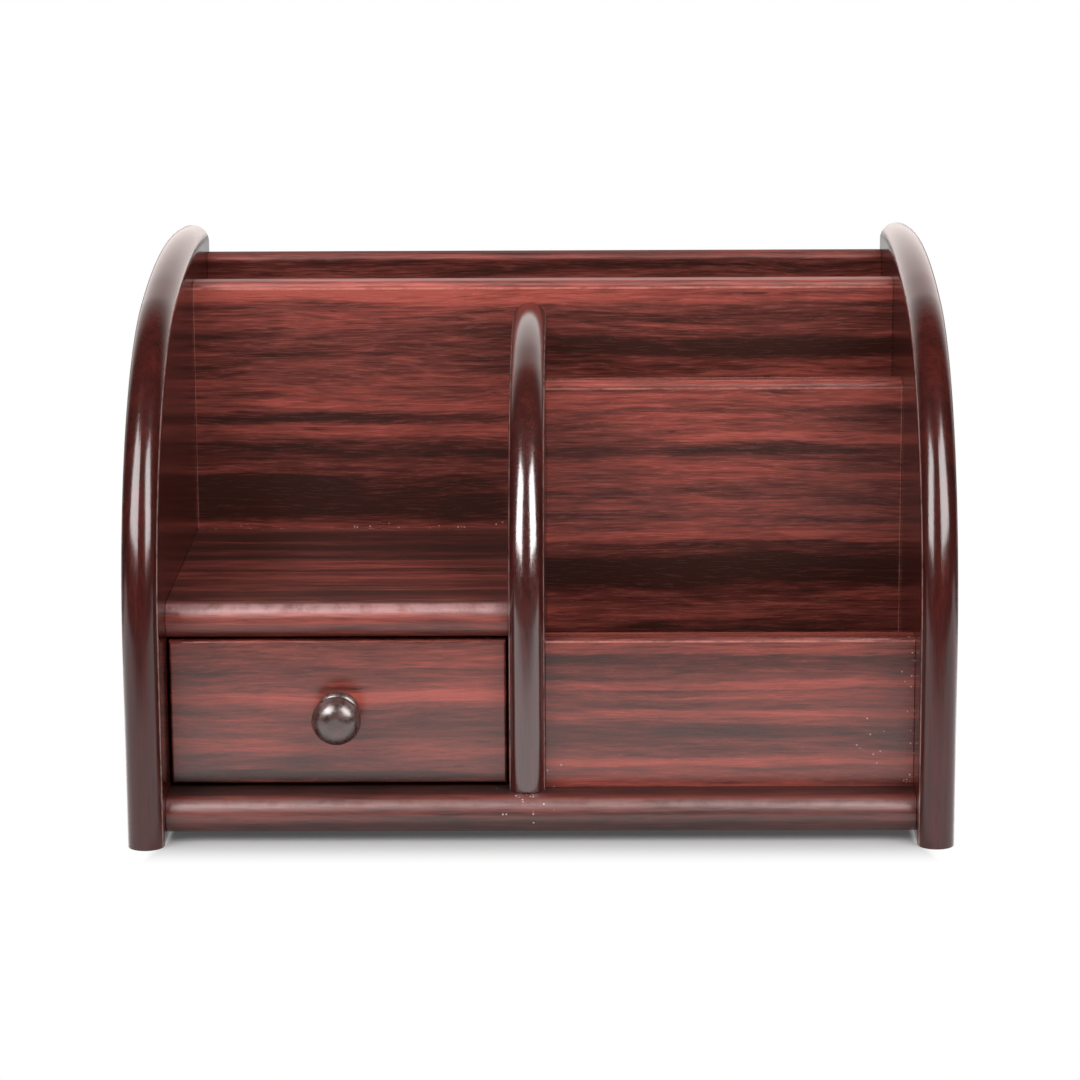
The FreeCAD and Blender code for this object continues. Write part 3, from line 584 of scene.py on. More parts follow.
class Shared:
    """Node groups that several finishes use, each built once."""

    @staticmethod
    @cache
    def grain() -> bpy.types.NodeTree:
        """Build printed rosewood grain, whose fibres run along X.

        Returns:
            The group.
        """
        graph, given, out = start_group("Rosewood grain", {"Vector": "Vector"}, ["Tone", "Fibre"])
        place = given["Vector"]
        shift = graph.swing(graph.streaks(place, along=14.0, across=60.0), 5.0 * MM)
        push = graph.node("CombineXYZ")
        graph.fill(push, Y=shift, Z=shift)
        bent = graph.vector("ADD", place, push.outputs[0])
        broad = graph.streaks(bent, along=5.0, across=115.0)
        strand = graph.streaks(bent, along=24.0, across=430.0, detail=3.0, rough=0.55)
        thread = graph.streaks(bent, along=55.0, across=1000.0, detail=2.0, rough=0.6)
        fibre = graph.streaks(bent, along=110.0, across=1900.0, detail=3.0, rough=0.6)
        pore = graph.streaks(bent, along=80.0, across=1700.0, detail=1.0)
        tone = 0.5
        for pattern, weight in ((broad, 1.5), (strand, 1.2), (thread, 0.9), (fibre, 0.6)):
            tone = graph.swing(pattern, weight, tone)
        tone = graph.sum("SUBTRACT", tone, graph.span(pore, 0.60, 0.70, end=0.26))
        graph.feed(out["Tone"], tone)
        graph.feed(out["Fibre"], fibre)
        return graph.tree

    @staticmethod
    @cache
    def band() -> bpy.types.NodeTree:
        """Build one streaky band between two ends, for broad streaks of the grain and for painted
        shade and painted light.

        Returns:
            The group.
        """
        takes = {"Vector": "Vector", "Across": "Vector"}
        takes.update({label: "Float" for label in ("Place", "Reach", "Left", "Right")})
        graph, given, out = start_group("Grain and shade band", takes, ["Mask"])
        place = given["Vector"]
        height = graph.vector("DOT_PRODUCT", place, given["Across"])
        waves = graph.streaks(place, along=16.0, across=60.0, detail=3.0, rough=0.6)
        fringe = graph.streaks(place, along=45.0, across=700.0)
        wander = graph.swing(fringe, 2.4 * MM, graph.swing(waves, 5.0 * MM))
        away = graph.sum("SUBTRACT", graph.sum("ADD", height, wander), given["Place"])
        share = graph.sum("DIVIDE", graph.sum("ABSOLUTE", away), given["Reach"])
        mask = graph.fade(share, 0.35, 1.0)
        x = graph.axis(place, "X")
        soft = 9.0 * MM
        for end, start, finish in (("Left", 0.0, 1.0), ("Right", 1.0, 0.0)):
            before = graph.sum("SUBTRACT", given[end], soft)
            after = graph.sum("ADD", given[end], soft)
            mask = graph.sum("MULTIPLY", mask, graph.span(x, before, after, start, finish))
        graph.feed(out["Mask"], mask)
        return graph.tree

    @staticmethod
    @cache
    def line() -> bpy.types.NodeTree:
        """Build a thin broken light line along an edge, for wear and seams and for painted
        highlights.

        Returns:
            The group.
        """
        takes = {"Vector": "Vector", "Place": "Vector", "Free": "Vector", "Width": "Float"}
        graph, given, out = start_group("Edge line", takes, ["Mask"])
        share = graph.sum("DIVIDE", graph.distance(given), given["Width"])
        thin = graph.fade(share, 0.3, 1.0)
        breaks = graph.noise(given["Vector"], scale=160.0, detail=4.0, rough=0.65)
        worn = graph.span(breaks, 0.3, 0.62, start=0.35)
        graph.feed(out["Mask"], graph.sum("MULTIPLY", thin, worn))
        return graph.tree

    @staticmethod
    @cache
    def specks() -> bpy.types.NodeTree:
        """Build small specks of glue and dust near a joint.

        Returns:
            The group.
        """
        takes = {label: "Vector" for label in ("Vector", "Place", "Free")}
        takes.update({"Reach": "Float", "Share": "Float"})
        graph, given, out = start_group("Glue specks", takes, ["Mask"])
        share = graph.sum("DIVIDE", graph.distance(given), given["Reach"])
        near = graph.fade(share, 0.0, 1.0)
        cells = graph.node("TexVoronoi", feature="F1")
        graph.fill(cells, Vector=given["Vector"], Scale=900.0)
        spot = graph.fade(cells.outputs["Distance"], 0.12, 0.34)
        chance = graph.node("SeparateColor")
        graph.feed(chance.inputs[0], cells.outputs["Color"])
        bar = graph.sum("SUBTRACT", 1.0, graph.sum("MULTIPLY", near, given["Share"]))
        chosen = graph.sum("GREATER_THAN", chance.outputs[0], bar)
        graph.feed(out["Mask"], graph.sum("MULTIPLY", spot, chosen))
        return graph.tree

    @staticmethod
    @cache
    def peel() -> bpy.types.NodeTree:
        """Build the orange-peel height of a pressed foil.

        Returns:
            The group.
        """
        takes = {"Vector": "Vector", "Scale": "Float"}
        graph, given, out = start_group("Orange peel", takes, ["Height"])
        graph.feed(out["Height"], graph.noise(given["Vector"], given["Scale"]))
        return graph.tree


# Finishes


@dataclass(frozen=True)
class Band:
    """A lighter or darker band across the grain: partly a broad streak of the print, partly painted
    shade and painted light.

    Args:
        place: Where the band lies along the board's height or depth, in millimetres.
        reach: Half of its width in millimetres.
        strength: How much it lightens, or darkens where it is negative.
        left: Where it begins along the width, in millimetres.
        right: Where it ends along the width, in millimetres.
    """

    place: float
    reach: float
    strength: float
    left: float = -200.0
    right: float = 200.0


@dataclass(frozen=True)
class Line:
    """A thin light line along an edge or a joint: wear and foil seams, and on some noses and edges a
    painted highlight.

    Args:
        place: A point of the line.
        free: The axes in which distance counts, as ones and zeros.
        width: Half of the line's width.
        strength: How light it is.
    """

    place: Place
    free: Place
    width: float
    strength: float


@dataclass(frozen=True)
class Specks:
    """Small specks of glue and dust near a joint.

    Args:
        place: A point of the joint.
        free: The axes in which distance counts, as ones and zeros.
        reach: How far from the joint they spread.
        share: The share of spots that are filled next to the joint.
    """

    place: Place
    free: Place
    reach: float
    share: float


BOARD_STOPS: Stops = (
    (0.05, (0.046, 0.014, 0.010)),
    (0.32, (0.112, 0.024, 0.018)),
    (0.52, (0.185, 0.043, 0.033)),
    (0.72, (0.290, 0.058, 0.043)),
    (0.95, (0.420, 0.088, 0.066)),
)
SIDE_STOPS: Stops = (
    (0.10, (0.034, 0.007, 0.005)),
    (0.50, (0.058, 0.010, 0.008)),
    (0.90, (0.098, 0.015, 0.011)),
)


@dataclass(frozen=True)
class RosewoodFoil:
    """Printed rosewood foil pressed on fibreboard, under a thin satin lacquer.

    Args:
        name: Name of the material.
        grain: The way that the grain runs.
        seed: Where in the endless pattern the board is cut.
        stops: Colours from the darkest streak to the lightest.
        contrast: How far the grain swings from its middle tone.
        depth: Factor on all the colours, set board by board, and so partly painted light and shade
            on whole boards.
        across: The axis along which bands are placed.
        bands: Lighter and darker bands: streaks of the print, painted shade and painted light.
        lines: Light lines along edges: wear, seams and painted highlights.
        specks: Specks near joints.
        roughness: Roughness of the lacquer.
        gloss: Strength of its reflection.
        peel_depth: Height of the orange peel.
        peel_scale: Fineness of the orange peel.
        wear_and_sheen_colour: Colour of the light lines, for wear and for painted highlights.
        speck_colour: Colour of the specks.
        worn_from: Height above which the lacquer is worn matt.
        worn_blend: Height over which that comes in.
        worn_roughness: Roughness there.
        fibre_relief: Height of the fibres.
        roughness_swing: How far the roughness goes below and above its middle.
    """

    name: str
    grain: Grain
    seed: Place
    stops: Stops = BOARD_STOPS
    contrast: float = 1.0
    depth: float = 1.0
    across: Place = (0.0, 0.0, 1.0)
    bands: tuple[Band, ...] = ()
    lines: tuple[Line, ...] = ()
    specks: tuple[Specks, ...] = ()
    roughness: float = 0.24
    gloss: float = 0.5
    peel_depth: float = 0.012 * MM
    peel_scale: float = 1100.0
    wear_and_sheen_colour: Colour = (0.78, 0.27, 0.22)
    speck_colour: Colour = (0.70, 0.60, 0.56)
    worn_from: float = 1.0
    worn_blend: float = 1.5 * MM
    worn_roughness: float = 0.75
    fibre_relief: float = 0.004 * MM
    roughness_swing: tuple[float, float] = (-0.02, 0.05)

    def make(self) -> bpy.types.Material:
        """Build the material.

        Returns:
            The material.
        """
        material, graph, shader, place = new_material(self.name)
        mapping = graph.node("Mapping")
        graph.fill(mapping, Vector=place, Location=self.seed, Rotation=self.grain.value)
        grain = graph.group(Shared.grain(), Vector=mapping.outputs[0])
        fibre = grain["Fibre"]
        ends = (self.roughness + swing for swing in self.roughness_swing)
        rough = graph.span(fibre, *NOISE_SPREAD, *ends)
        worn_to = self.worn_from + self.worn_blend
        height = graph.axis(place, "Z")
        worn = graph.span(height, self.worn_from, worn_to, 0.0, self.worn_roughness)
        peel = graph.group(Shared.peel(), Vector=place, Scale=self.peel_scale)
        skin = graph.bump(peel[0], self.peel_depth)
        graph.fill(skin, Normal=graph.bump(fibre, self.fibre_relief).outputs[0])
        graph.fill(
            shader, Base_Color=self.colour(graph, place, grain["Tone"]),
            Roughness=graph.largest(rough, worn), Specular_IOR_Level=self.gloss,
            Normal=skin.outputs[0]
        )
        return material

    def colour(self, graph: Graph, place: Any, tone: Any) -> Any:
        """Colour the grain and lay its bands of streaks and painted shade and light, its light lines
        of wear, seams and painted highlights, and its specks.

        Args:
            graph: The material's graph.
            place: The object coordinates.
            tone: The tone of the grain.

        Returns:
            The colour.
        """
        tone = graph.swing(tone, self.contrast, 0.5)
        for band in self.bands:
            mask = graph.group(
                Shared.band(), Vector=place, Across=self.across, Place=band.place * MM,
                Reach=band.reach * MM, Left=band.left * MM, Right=band.right * MM
            )
            tone = graph.sum("MULTIPLY_ADD", mask[0], band.strength, tone)
        shades = tuple((at, tuple(self.depth * part for part in shade)) for at, shade in self.stops)
        colour = graph.ramp(tone, shades)
        for line in self.lines:
            mask = graph.group(
                Shared.line(), Vector=place, Place=line.place, Free=line.free, Width=line.width
            )
            share = graph.sum("MULTIPLY", mask[0], line.strength)
            colour = graph.blend(share, colour, (*self.wear_and_sheen_colour, 1.0))
        for spread in self.specks:
            mask = graph.group(
                Shared.specks(), Vector=place, Place=spread.place, Free=spread.free,
                Reach=spread.reach, Share=spread.share
            )
            colour = graph.blend(mask[0], colour, (*self.speck_colour, 1.0))
        return colour


@dataclass(frozen=True)
class PlainWood:
    """Bare or stained wood with a matt face.

    Args:
        name: Name of the material.
        stops: Colours from the darkest streak to the lightest.
        roughness: Roughness between and on the fibres.
        relief: Height of the fibres.
    """

    name: str
    stops: Stops
    roughness: tuple[float, float]
    relief: float

    def make(self) -> bpy.types.Material:
        """Build the material.

        Returns:
            The material.
        """
        material, graph, shader, place = new_material(self.name)
        grain = graph.group(Shared.grain(), Vector=place)
        graph.fill(
            shader,
            Base_Color=graph.ramp(grain["Tone"], self.stops),
            Roughness=graph.span(grain["Fibre"], *NOISE_SPREAD, *self.roughness),
            Normal=graph.bump(grain["Fibre"], self.relief).outputs[0],
        )
        return material


BOX_STAIN = PlainWood(
    "drawer_box_stain",
    ((0.1, (0.055, 0.022, 0.016)), (0.5, (0.105, 0.037, 0.026)), (0.9, (0.17, 0.058, 0.04))),
    (0.5, 0.68),
    0.04 * MM,
)
RAW_BEECH = PlainWood(
    "raw_beech",
    ((0.2, (0.50, 0.34, 0.20)), (0.6, (0.62, 0.45, 0.28)), (0.9, (0.70, 0.54, 0.36))),
    (0.55, 0.7),
    0.03 * MM,
)


@dataclass(frozen=True)
class KnobLacquer:
    """Gloss dark lacquer over turned wood, with a few fine scratches."""

    name: str = "knob_lacquer"
    stops: Stops = (
        (0.3, (0.040, 0.019, 0.016)),
        (0.55, (0.085, 0.042, 0.036)),
        (0.8, (0.150, 0.075, 0.066)),
    )
    cloud_scale: float = 420.0
    scratch_colour: Colour = (0.4, 0.33, 0.31)
    scratch_edge: tuple[float, float] = (0.72, 0.78)
    scratch_strength: float = 0.5
    scratch_run: Place = (900.0, 1.0, 5200.0)
    roughness: tuple[float, float] = (0.22, 0.36)
    gloss: float = 0.8
    peel_scale: float = 650.0
    peel_depth: float = 0.05 * MM

    def make(self) -> bpy.types.Material:
        """Build the material.

        Returns:
            The material.
        """
        material, graph, shader, place = new_material(self.name)
        cloud = graph.noise(place, self.cloud_scale, detail=4.0, rough=0.6)
        drawn = graph.vector("MULTIPLY", place, self.scratch_run)
        scratch = graph.noise(drawn, scale=1.0, detail=4.0, rough=0.7)
        marks = graph.span(scratch, *self.scratch_edge, end=self.scratch_strength)
        colour = graph.blend(marks, graph.ramp(cloud, self.stops), (*self.scratch_colour, 1.0))
        peel = graph.group(Shared.peel(), Vector=place, Scale=self.peel_scale)
        graph.fill(
            shader,
            Base_Color=colour,
            Roughness=graph.span(cloud, *NOISE_SPREAD, *self.roughness),
            Specular_IOR_Level=self.gloss,
            Normal=graph.bump(peel[0], self.peel_depth).outputs[0],
        )
        return material


@dataclass(frozen=True)
class ZincSteel:
    """Bright zinc plating with faint clouding."""

    name: str = "zinc_plating"
    stops: Stops = ((0.3, (0.50, 0.50, 0.47)), (0.7, (0.68, 0.67, 0.64)))
    cloud_scale: float = 900.0
    roughness: tuple[float, float] = (0.26, 0.4)

    def make(self) -> bpy.types.Material:
        """Build the material.

        Returns:
            The material.
        """
        material, graph, shader, place = new_material(self.name)
        cloud = graph.noise(place, self.cloud_scale, detail=3.0)
        rough = graph.span(cloud, *NOISE_SPREAD, *self.roughness)
        graph.fill(shader, Base_Color=graph.ramp(cloud, self.stops), Roughness=rough, Metallic=1.0)
        return material


def new_material(name: str) -> tuple[bpy.types.Material, Graph, bpy.types.Node, Any]:
    """Start a material.

    Args:
        name: Name of the material.

    Returns:
        The material, its graph, its surface shader and the object coordinates.
    """
    material = bpy.data.materials.new(name)
    material.use_nodes = True
    graph = Graph(material.node_tree)
    shader = material.node_tree.nodes["Principled BSDF"]
    return material, graph, shader, graph.node("TexCoord").outputs["Object"]


# Boards


@dataclass
class ArchBoard:
    """An upright board with a half-round nose along its front and its arched top.

    Args:
        name: Name of the piece.
        node: CAD node that it stands for.
        finish: Its foil.
        straight: Height of the straight front.
        shoulder_share: Radius of the shoulder, as a share of the rise above the straight front.
        crown_share: Radius of the crown, as a share of the board's depth.
        nose_radius: Radius of the nose.
        arch_facets: Facets in a quarter turn of the arch.
        nose_facets: Facets across the nose.
        edge_ease: Width of the broken edges.
    """

    name: str
    node: str
    finish: RosewoodFoil
    straight: float
    shoulder_share: float
    crown_share: float
    nose_radius: float = 5.95 * MM
    arch_facets: int = 56
    nose_facets: int = 16
    edge_ease: float = 0.35 * MM

    def tangents(self) -> list[tuple[Vector, Vector]]:
        """Lay out the flats that shape the arch.

        Returns:
            Points of the arch with the outward direction at each.
        """
        low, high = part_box(self.node)
        bend_z = low.z + self.straight
        rise = high.z - bend_z
        small = rise * self.shoulder_share
        large = (high.y - low.y) * self.crown_share
        turn = math.asin((large - rise) / (large - small))
        shoulder = Vector((0.0, low.y + small, bend_z))
        crown = Vector((0.0, shoulder.y + (large - small) * math.cos(turn), high.z - large))
        whole = math.pi / 2 + math.asin((high.y - crown.y) / large)
        facet = math.pi / (2 * self.arch_facets + 1)
        flats = []
        for step in range(int(whole / facet)):
            angle = (step + 0.5) * facet
            outward = Vector((0.0, -math.cos(angle), math.sin(angle)))
            centre, radius = (shoulder, small) if angle < turn else (crown, large)
            flats.append((centre + outward * radius, outward))
        return flats

    def build(self) -> None:
        """Cut the arch out of a block, round its nose and dress the board."""
        low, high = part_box(self.node)
        blank = Blank.block(self.name, low, high + self.nose_radius * UPWARD)
        blank.edit()
        for point, outward in self.tangents():
            blank.slice_off(point, outward)

        def on_nose(edge: Any) -> bool:
            """Tell whether an edge follows the front and the arch.

            Args:
                edge: The edge.

            Returns:
                Whether it does.
            """
            first, second = (point.co for point in edge.verts)
            level = same(first.x, second.x)
            rear = same(first.y, high.y) and same(second.y, high.y)
            foot = same(first.z, low.z) and same(second.z, low.z)
            return level and not rear and not foot

        blank.round_edges(on_nose, self.nose_radius, self.nose_facets)
        blank.leave()
        blank.ease(self.edge_ease)
        blank.dress(Body.CARCASS, "rosewood_side_foil", self.finish.make(), [self.node])


@dataclass
class NosedBoard:
    """A level board with a half-round nose along its front."""

    name: str
    node: str
    finish: RosewoodFoil
    nose_radius: float = 5.95 * MM
    nose_facets: int = 16
    edge_ease: float = 0.25 * MM
    sink_points: int = 32
    sink_radius: float = 3.3 * MM
    sink_overrun: float = 0.1 * MM

    def build(self, sinks: Sequence[Vector] = ()) -> None:
        """Round the nose of a block, sink the screws and dress the board.

        Args:
            sinks: Middles of the countersinks in its lower face.
        """
        low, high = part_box(self.node)
        blank = Blank.block(self.name, low, high)
        blank.edit()
        front = in_plane(low, FORWARD)
        blank.round_edges(
            lambda edge: front(edge) and along_width(edge), self.nose_radius, self.nose_facets
        )
        blank.leave()
        blank.ease(self.edge_ease)
        if sinks:
            blank.cut(gather([self.sink(place) for place in sinks]))
        blank.dress(Body.CARCASS, "rosewood_board_foil", self.finish.make(), [self.node])

    def sink(self, place: Vector) -> Blank:
        """Model the cone that sinks one screw's head.

        Args:
            place: Middle of the sink in the lower face.

        Returns:
            The cone.
        """
        clear_selection()
        rise = self.sink_radius / 4 - self.sink_overrun / 2
        bpy.ops.mesh.primitive_cone_add(
            vertices=self.sink_points,
            radius1=self.sink_radius + self.sink_overrun,
            radius2=self.sink_radius / 2,
            depth=self.sink_radius / 2 + self.sink_overrun,
            location=place + rise * UPWARD,
        )
        return Blank("sink")


@dataclass
class CrossPanel:
    """An upright cross panel with its top edges eased."""

    name: str
    node: str
    finish: RosewoodFoil
    front_round: float
    rear_round: float = 1.2 * MM
    facets: int = 8
    edge_ease: float = 0.2 * MM

    def build(self) -> None:
        """Round the top of a block and dress the panel."""
        low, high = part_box(self.node)
        blank = Blank.block(self.name, low, high)
        blank.edit()
        top = in_plane(high, UPWARD)
        for corner, edge_round in ((low, self.front_round), (high, self.rear_round)):
            face = in_plane(corner, FORWARD)
            blank.round_edges(lambda edge: top(edge) and face(edge), edge_round, self.facets)
        blank.leave()
        blank.ease(self.edge_ease)
        blank.dress(Body.CARCASS, "rosewood_board_foil", self.finish.make(), [self.node])


# Drawer


@dataclass
class DrawerFace:
    """The drawer's front board, with rabbets for its sides and a groove for its bottom."""

    name: str
    node: str
    finish: RosewoodFoil
    face_round: float = 0.8 * MM
    face_facets: int = 5
    edge_ease: float = 0.15 * MM
    rabbet_width: float = 6.5 * MM
    rabbet_depth: float = 4.5 * MM
    groove_depth: float = 3.0 * MM
    groove_play: float = 0.1 * MM

    def build(self) -> None:
        """Round the face's rim, cut the joints and dress the board."""
        low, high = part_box(self.node)
        floor_low, floor_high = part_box("drawer_bottom")
        blank = Blank.block(self.name, low, high)
        blank.edit()
        blank.round_edges(in_plane(low, FORWARD), self.face_round, self.face_facets)
        blank.leave()
        rabbet_y, groove_y = high.y - self.rabbet_depth, high.y - self.groove_depth
        left_x, right_x = low.x + self.rabbet_width, high.x - self.rabbet_width
        floor_z, roof_z = floor_low.z - self.groove_play, floor_high.z + self.groove_play
        half = self.rabbet_width / 2
        cuts = (
            ((low.x - MM, rabbet_y, low.z - MM), (left_x, high.y + MM, high.z + MM)),
            ((right_x, rabbet_y, low.z - MM), (high.x + MM, high.y + MM, high.z + MM)),
            ((low.x + half, groove_y, floor_z), (high.x - half, high.y + MM, roof_z)),
        )
        for start, end in cuts:
            blank.cut(Blank.block("joint_cut", Vector(start), Vector(end)))
        blank.ease(self.edge_ease)
        blank.dress(Body.DRAWER, "rosewood_board_foil", self.finish.make(), [self.node])


@dataclass
class TurnedKnob:
    """The drawer's turned knob: a collar, a neck and a ball-like head."""

    name: str
    node: str
    finish: KnobLacquer
    collar_radius: float = 7.1 * MM
    collar_length: float = 3.0 * MM
    collar_slope: float = 1.6 * MM
    neck_radius: float = 4.6 * MM
    neck_length: float = 2.8 * MM
    head_slope: float = 2.8 * MM
    head_radius: float = 8.0 * MM
    head_length: float = 6.8 * MM
    edge_rounds: tuple[float, ...] = (0.8 * MM, 1.2 * MM, 1.4 * MM, 1.4 * MM)
    edge_facets: int = 6
    dome_round: float = 6.2 * MM
    dome_facets: int = 20
    points: int = 72

    def build(self) -> None:
        """Draw the knob out of a disc turn by turn, round the turns and dress it."""
        end = rear_of(self.node)
        quarter = (math.pi / 2, 0.0, 0.0)
        blank = Blank.disc(self.name, end, self.collar_radius, quarter, self.points)
        blank.edit()
        bpy.ops.mesh.select_all(action="SELECT")
        width = self.collar_radius
        turns = []
        for run, radius in (
            (self.collar_length, self.collar_radius),
            (self.collar_slope, self.neck_radius),
            (self.neck_length, self.neck_radius),
            (self.head_slope, self.head_radius),
            (self.head_length, self.head_radius),
        ):
            end = blank.draw_out(end, FORWARD, run, radius / width)
            width = radius
            turns.append(in_plane(end, FORWARD))
        blank.face_outwards()
        for turn, edge_round in zip(turns, self.edge_rounds):
            blank.round_edges(turn, edge_round, self.edge_facets)
        blank.round_edges(turns[-1], self.dome_round, self.dome_facets)
        blank.leave()
        blank.dress(Body.DRAWER, "lacquered_knob", self.finish.make(), [self.node])


class Head(Enum):
    """Shapes of a screw's head, as the round of its rim."""

    PAN = 0.9 * MM
    SUNK = 0.15 * MM


@dataclass
class CrossScrew:
    """A screw with a cross recess, modelled along an axis from its head inwards."""

    name: str
    head: Head
    head_radius: float
    head_height: float
    shank_radius: float
    length: float
    arm_length: float = 2.0 * MM
    arm_width: float = 0.6 * MM
    recess_depth: float = 1.0 * MM
    rim_facets: int = 4
    points: int = 40

    def make(self, top: Vector, inward: Vector) -> Blank:
        """Model one screw.

        Args:
            top: Middle of the head's outer face.
            inward: Unit direction from the head to the tip.

        Returns:
            The screw as a blank.
        """
        turn = Vector((0.0, 0.0, -1.0)).rotation_difference(inward).to_euler()
        blank = Blank.disc(self.name, top, self.head_radius, tuple(turn), self.points)
        blank.edit()
        bpy.ops.mesh.select_all(action="SELECT")
        taper = self.shank_radius / self.head_radius
        straight = self.head is Head.PAN
        neck = blank.draw_out(top, inward, self.head_height, 1.0 if straight else taper)
        if straight:
            blank.draw_out(neck, inward, 0.0, taper)
        blank.draw_out(neck, inward, self.length - self.head_height)
        blank.face_outwards()
        blank.round_edges(in_plane(top, inward), self.head.value, self.rim_facets)
        blank.leave()
        across = inward.orthogonal().normalized()
        other = inward.cross(across)
        for first, second in ((across, other), (other, across)):
            reach = first * self.arm_length + second * self.arm_width
            corner_a = top - reach - inward * MM
            corner_b = top + reach + inward * self.recess_depth
            low = Vector([min(a, b) for a, b in zip(corner_a, corner_b)])
            high = Vector([max(a, b) for a, b in zip(corner_a, corner_b)])
            blank.cut(Blank.block("cross_arm", low, high))
        return blank


# Studio


@dataclass(frozen=True)
class Softbox:
    """A soft lamp that faces the object.

    Args:
        name: Name of the lamp.
        place: Middle of its face.
        run: Direction of its long side.
        wide: Length of its short side.
        high: Length of its long side.
        level: Brightness of its face.
        shines: Whether it shows in gloss, or lights the surfaces.
    """

    name: str
    place: Place
    run: Place
    wide: float
    high: float
    level: float
    shines: bool

    def hang(self) -> None:
        """Hang the lamp."""
        lamp = bpy.data.lights.new(self.name, "AREA")
        lamp.shape = "RECTANGLE"
        lamp.size = self.wide
        lamp.size_y = self.high
        lamp.energy = self.level * math.pi * self.wide * self.high
        holder = bpy.data.objects.new(self.name, lamp)
        bpy.context.scene.collection.objects.link(holder)
        along = Vector(self.run).normalized()
        out = Vector(self.place) - Vector(LAMP_AIM)
        out = (out - out.dot(along) * along).normalized()
        turn = Matrix((along.cross(out), along, out)).transposed()
        holder.matrix_world = Matrix.Translation(self.place) @ turn.to_4x4()
        holder.visible_diffuse = not self.shines
        holder.visible_glossy = self.shines


@dataclass
class Studio:
    """Floor, background, lamps and camera."""

    floor_size: float = 8.0
    # The paper's grey deepens the object's shadow near it, which is painted shade, and dims the
    # floor's bounce light.
    shadow_deepening_grey: float = 0.45
    floor_roughness: float = 0.9
    floor_gloss: float = 0.1
    lamp_place: Place = (0.58, -0.69, 1.025)
    lamp_run: Place = (-0.462, 0.551, 0.695)
    lamp_size: tuple[float, float] = (0.62, 1.5)
    lamp_level: float = 4.3
    fill_level: float = 0.05
    strip_place: Place = (0.335, -0.37, 0.51)
    strip_size: tuple[float, float] = (0.34, 0.56)
    strip_level: float = 16.0
    backdrop_level: float = 1.75
    backdrop_rise: tuple[float, float] = (0.52, 1.0)
    room_level: float = 0.06
    room_warmth: Colour = (1.0, 0.90, 0.87)
    shadow_width: tuple[float, float] = (0.119, 0.128)
    shadow_depth: tuple[float, float] = (0.088, 0.118)
    shadow_glow: float = 0.07
    near_floor_level: float = 1.85
    far_floor_level: float = 0.2
    far_floor_edge: tuple[float, float] = (-0.35, -0.26)
    rear_floor_edge: tuple[float, float] = (0.0, 0.18)
    rear_middle_level: float = 0.8
    rear_side_level: float = 0.12
    rear_side_edge: tuple[float, float] = (0.10, 0.15)
    camera_place: Place = (0.015804, -1.344947, 0.377771)
    camera_yaw: float = -0.01238
    camera_pitch: float = -0.21778
    camera_roll: float = -0.00556
    camera_lens: float = 133.62
    camera_sensor: float = 36.0
    camera_range: tuple[float, float] = (0.05, 50.0)

    def lay_floor(self) -> None:
        """Lay the floor."""
        clear_selection()
        bpy.ops.mesh.primitive_plane_add(size=self.floor_size, location=(0.0, 0.0, 0.0))
        floor = bpy.context.view_layer.objects.active
        floor.name = "studio_floor"
        floor.data.materials.append(self.floor_paper())

    def floor_paper(self) -> bpy.types.Material:
        """Build grey paper that keeps the object's shadow, deepened by the paper's grey as painted
        shade, and is white further out.

        Returns:
            The material.
        """
        material, graph, shader, place = new_material("studio_floor_paper")
        grey = (self.shadow_deepening_grey, self.shadow_deepening_grey, self.shadow_deepening_grey, 1.0)
        graph.fill(
            shader, Base_Color=grey, Roughness=self.floor_roughness,
            Specular_IOR_Level=self.floor_gloss
        )
        apart = graph.vector("ABSOLUTE", place)
        aside = graph.axis(apart, "X")
        ahead = graph.axis(place, "Y")
        open_floor = graph.largest(
            graph.span(aside, *self.shadow_width),
            graph.span(graph.axis(apart, "Y"), *self.shadow_depth),
            self.shadow_glow,
        )
        ray = graph.node("LightPath").outputs
        seen = graph.largest(ray["Is Camera Ray"], ray["Is Glossy Ray"], ray["Is Transmission Ray"])
        near = self.near_floor_level
        front = graph.span(ahead, *self.far_floor_edge, self.far_floor_level, near)
        rear = graph.span(aside, *self.rear_side_edge, self.rear_middle_level, self.rear_side_level)
        behind = graph.span(ahead, *self.rear_floor_edge, near, rear)
        unseen = graph.sum("SUBTRACT", 1.0, ray["Is Camera Ray"])
        paper = graph.sum("MINIMUM", front, behind)
        paper = graph.sum("MULTIPLY_ADD", paper, unseen, ray["Is Camera Ray"])
        glow = graph.node("Emission")
        graph.fill(glow, Strength=paper)
        mix = graph.node("MixShader")
        graph.feed(mix.inputs[0], graph.sum("MULTIPLY", open_floor, seen))
        graph.feed(mix.inputs[1], shader.outputs[0])
        graph.feed(mix.inputs[2], glow.outputs[0])
        graph.feed(material.node_tree.nodes["Material Output"].inputs["Surface"], mix.outputs[0])
        return material

    def light_world(self) -> None:
        """Set a white background, a dim room in reflections and soft fill light."""
        world = bpy.data.worlds.new("studio_room")
        bpy.context.scene.world = world
        world.use_nodes = True
        graph = Graph(world.node_tree)
        ray = graph.node("LightPath").outputs
        glossy = ray["Is Glossy Ray"]
        warm = graph.blend(glossy, (1.0, 1.0, 1.0, 1.0), (*self.room_warmth, 1.0))
        way = graph.axis(graph.node("TexCoord").outputs["Generated"], "Y")
        backdrop = graph.span(way, *self.backdrop_rise, self.room_level, self.backdrop_level)
        seen = graph.largest(ray["Is Camera Ray"], ray["Is Transmission Ray"])
        level = graph.largest(graph.sum("MULTIPLY", glossy, backdrop), seen)
        unseen = graph.sum("SUBTRACT", 1.0, graph.largest(seen, glossy))
        level = graph.sum("MULTIPLY_ADD", unseen, self.fill_level, level)
        graph.fill(world.node_tree.nodes["Background"], Color=warm, Strength=level)

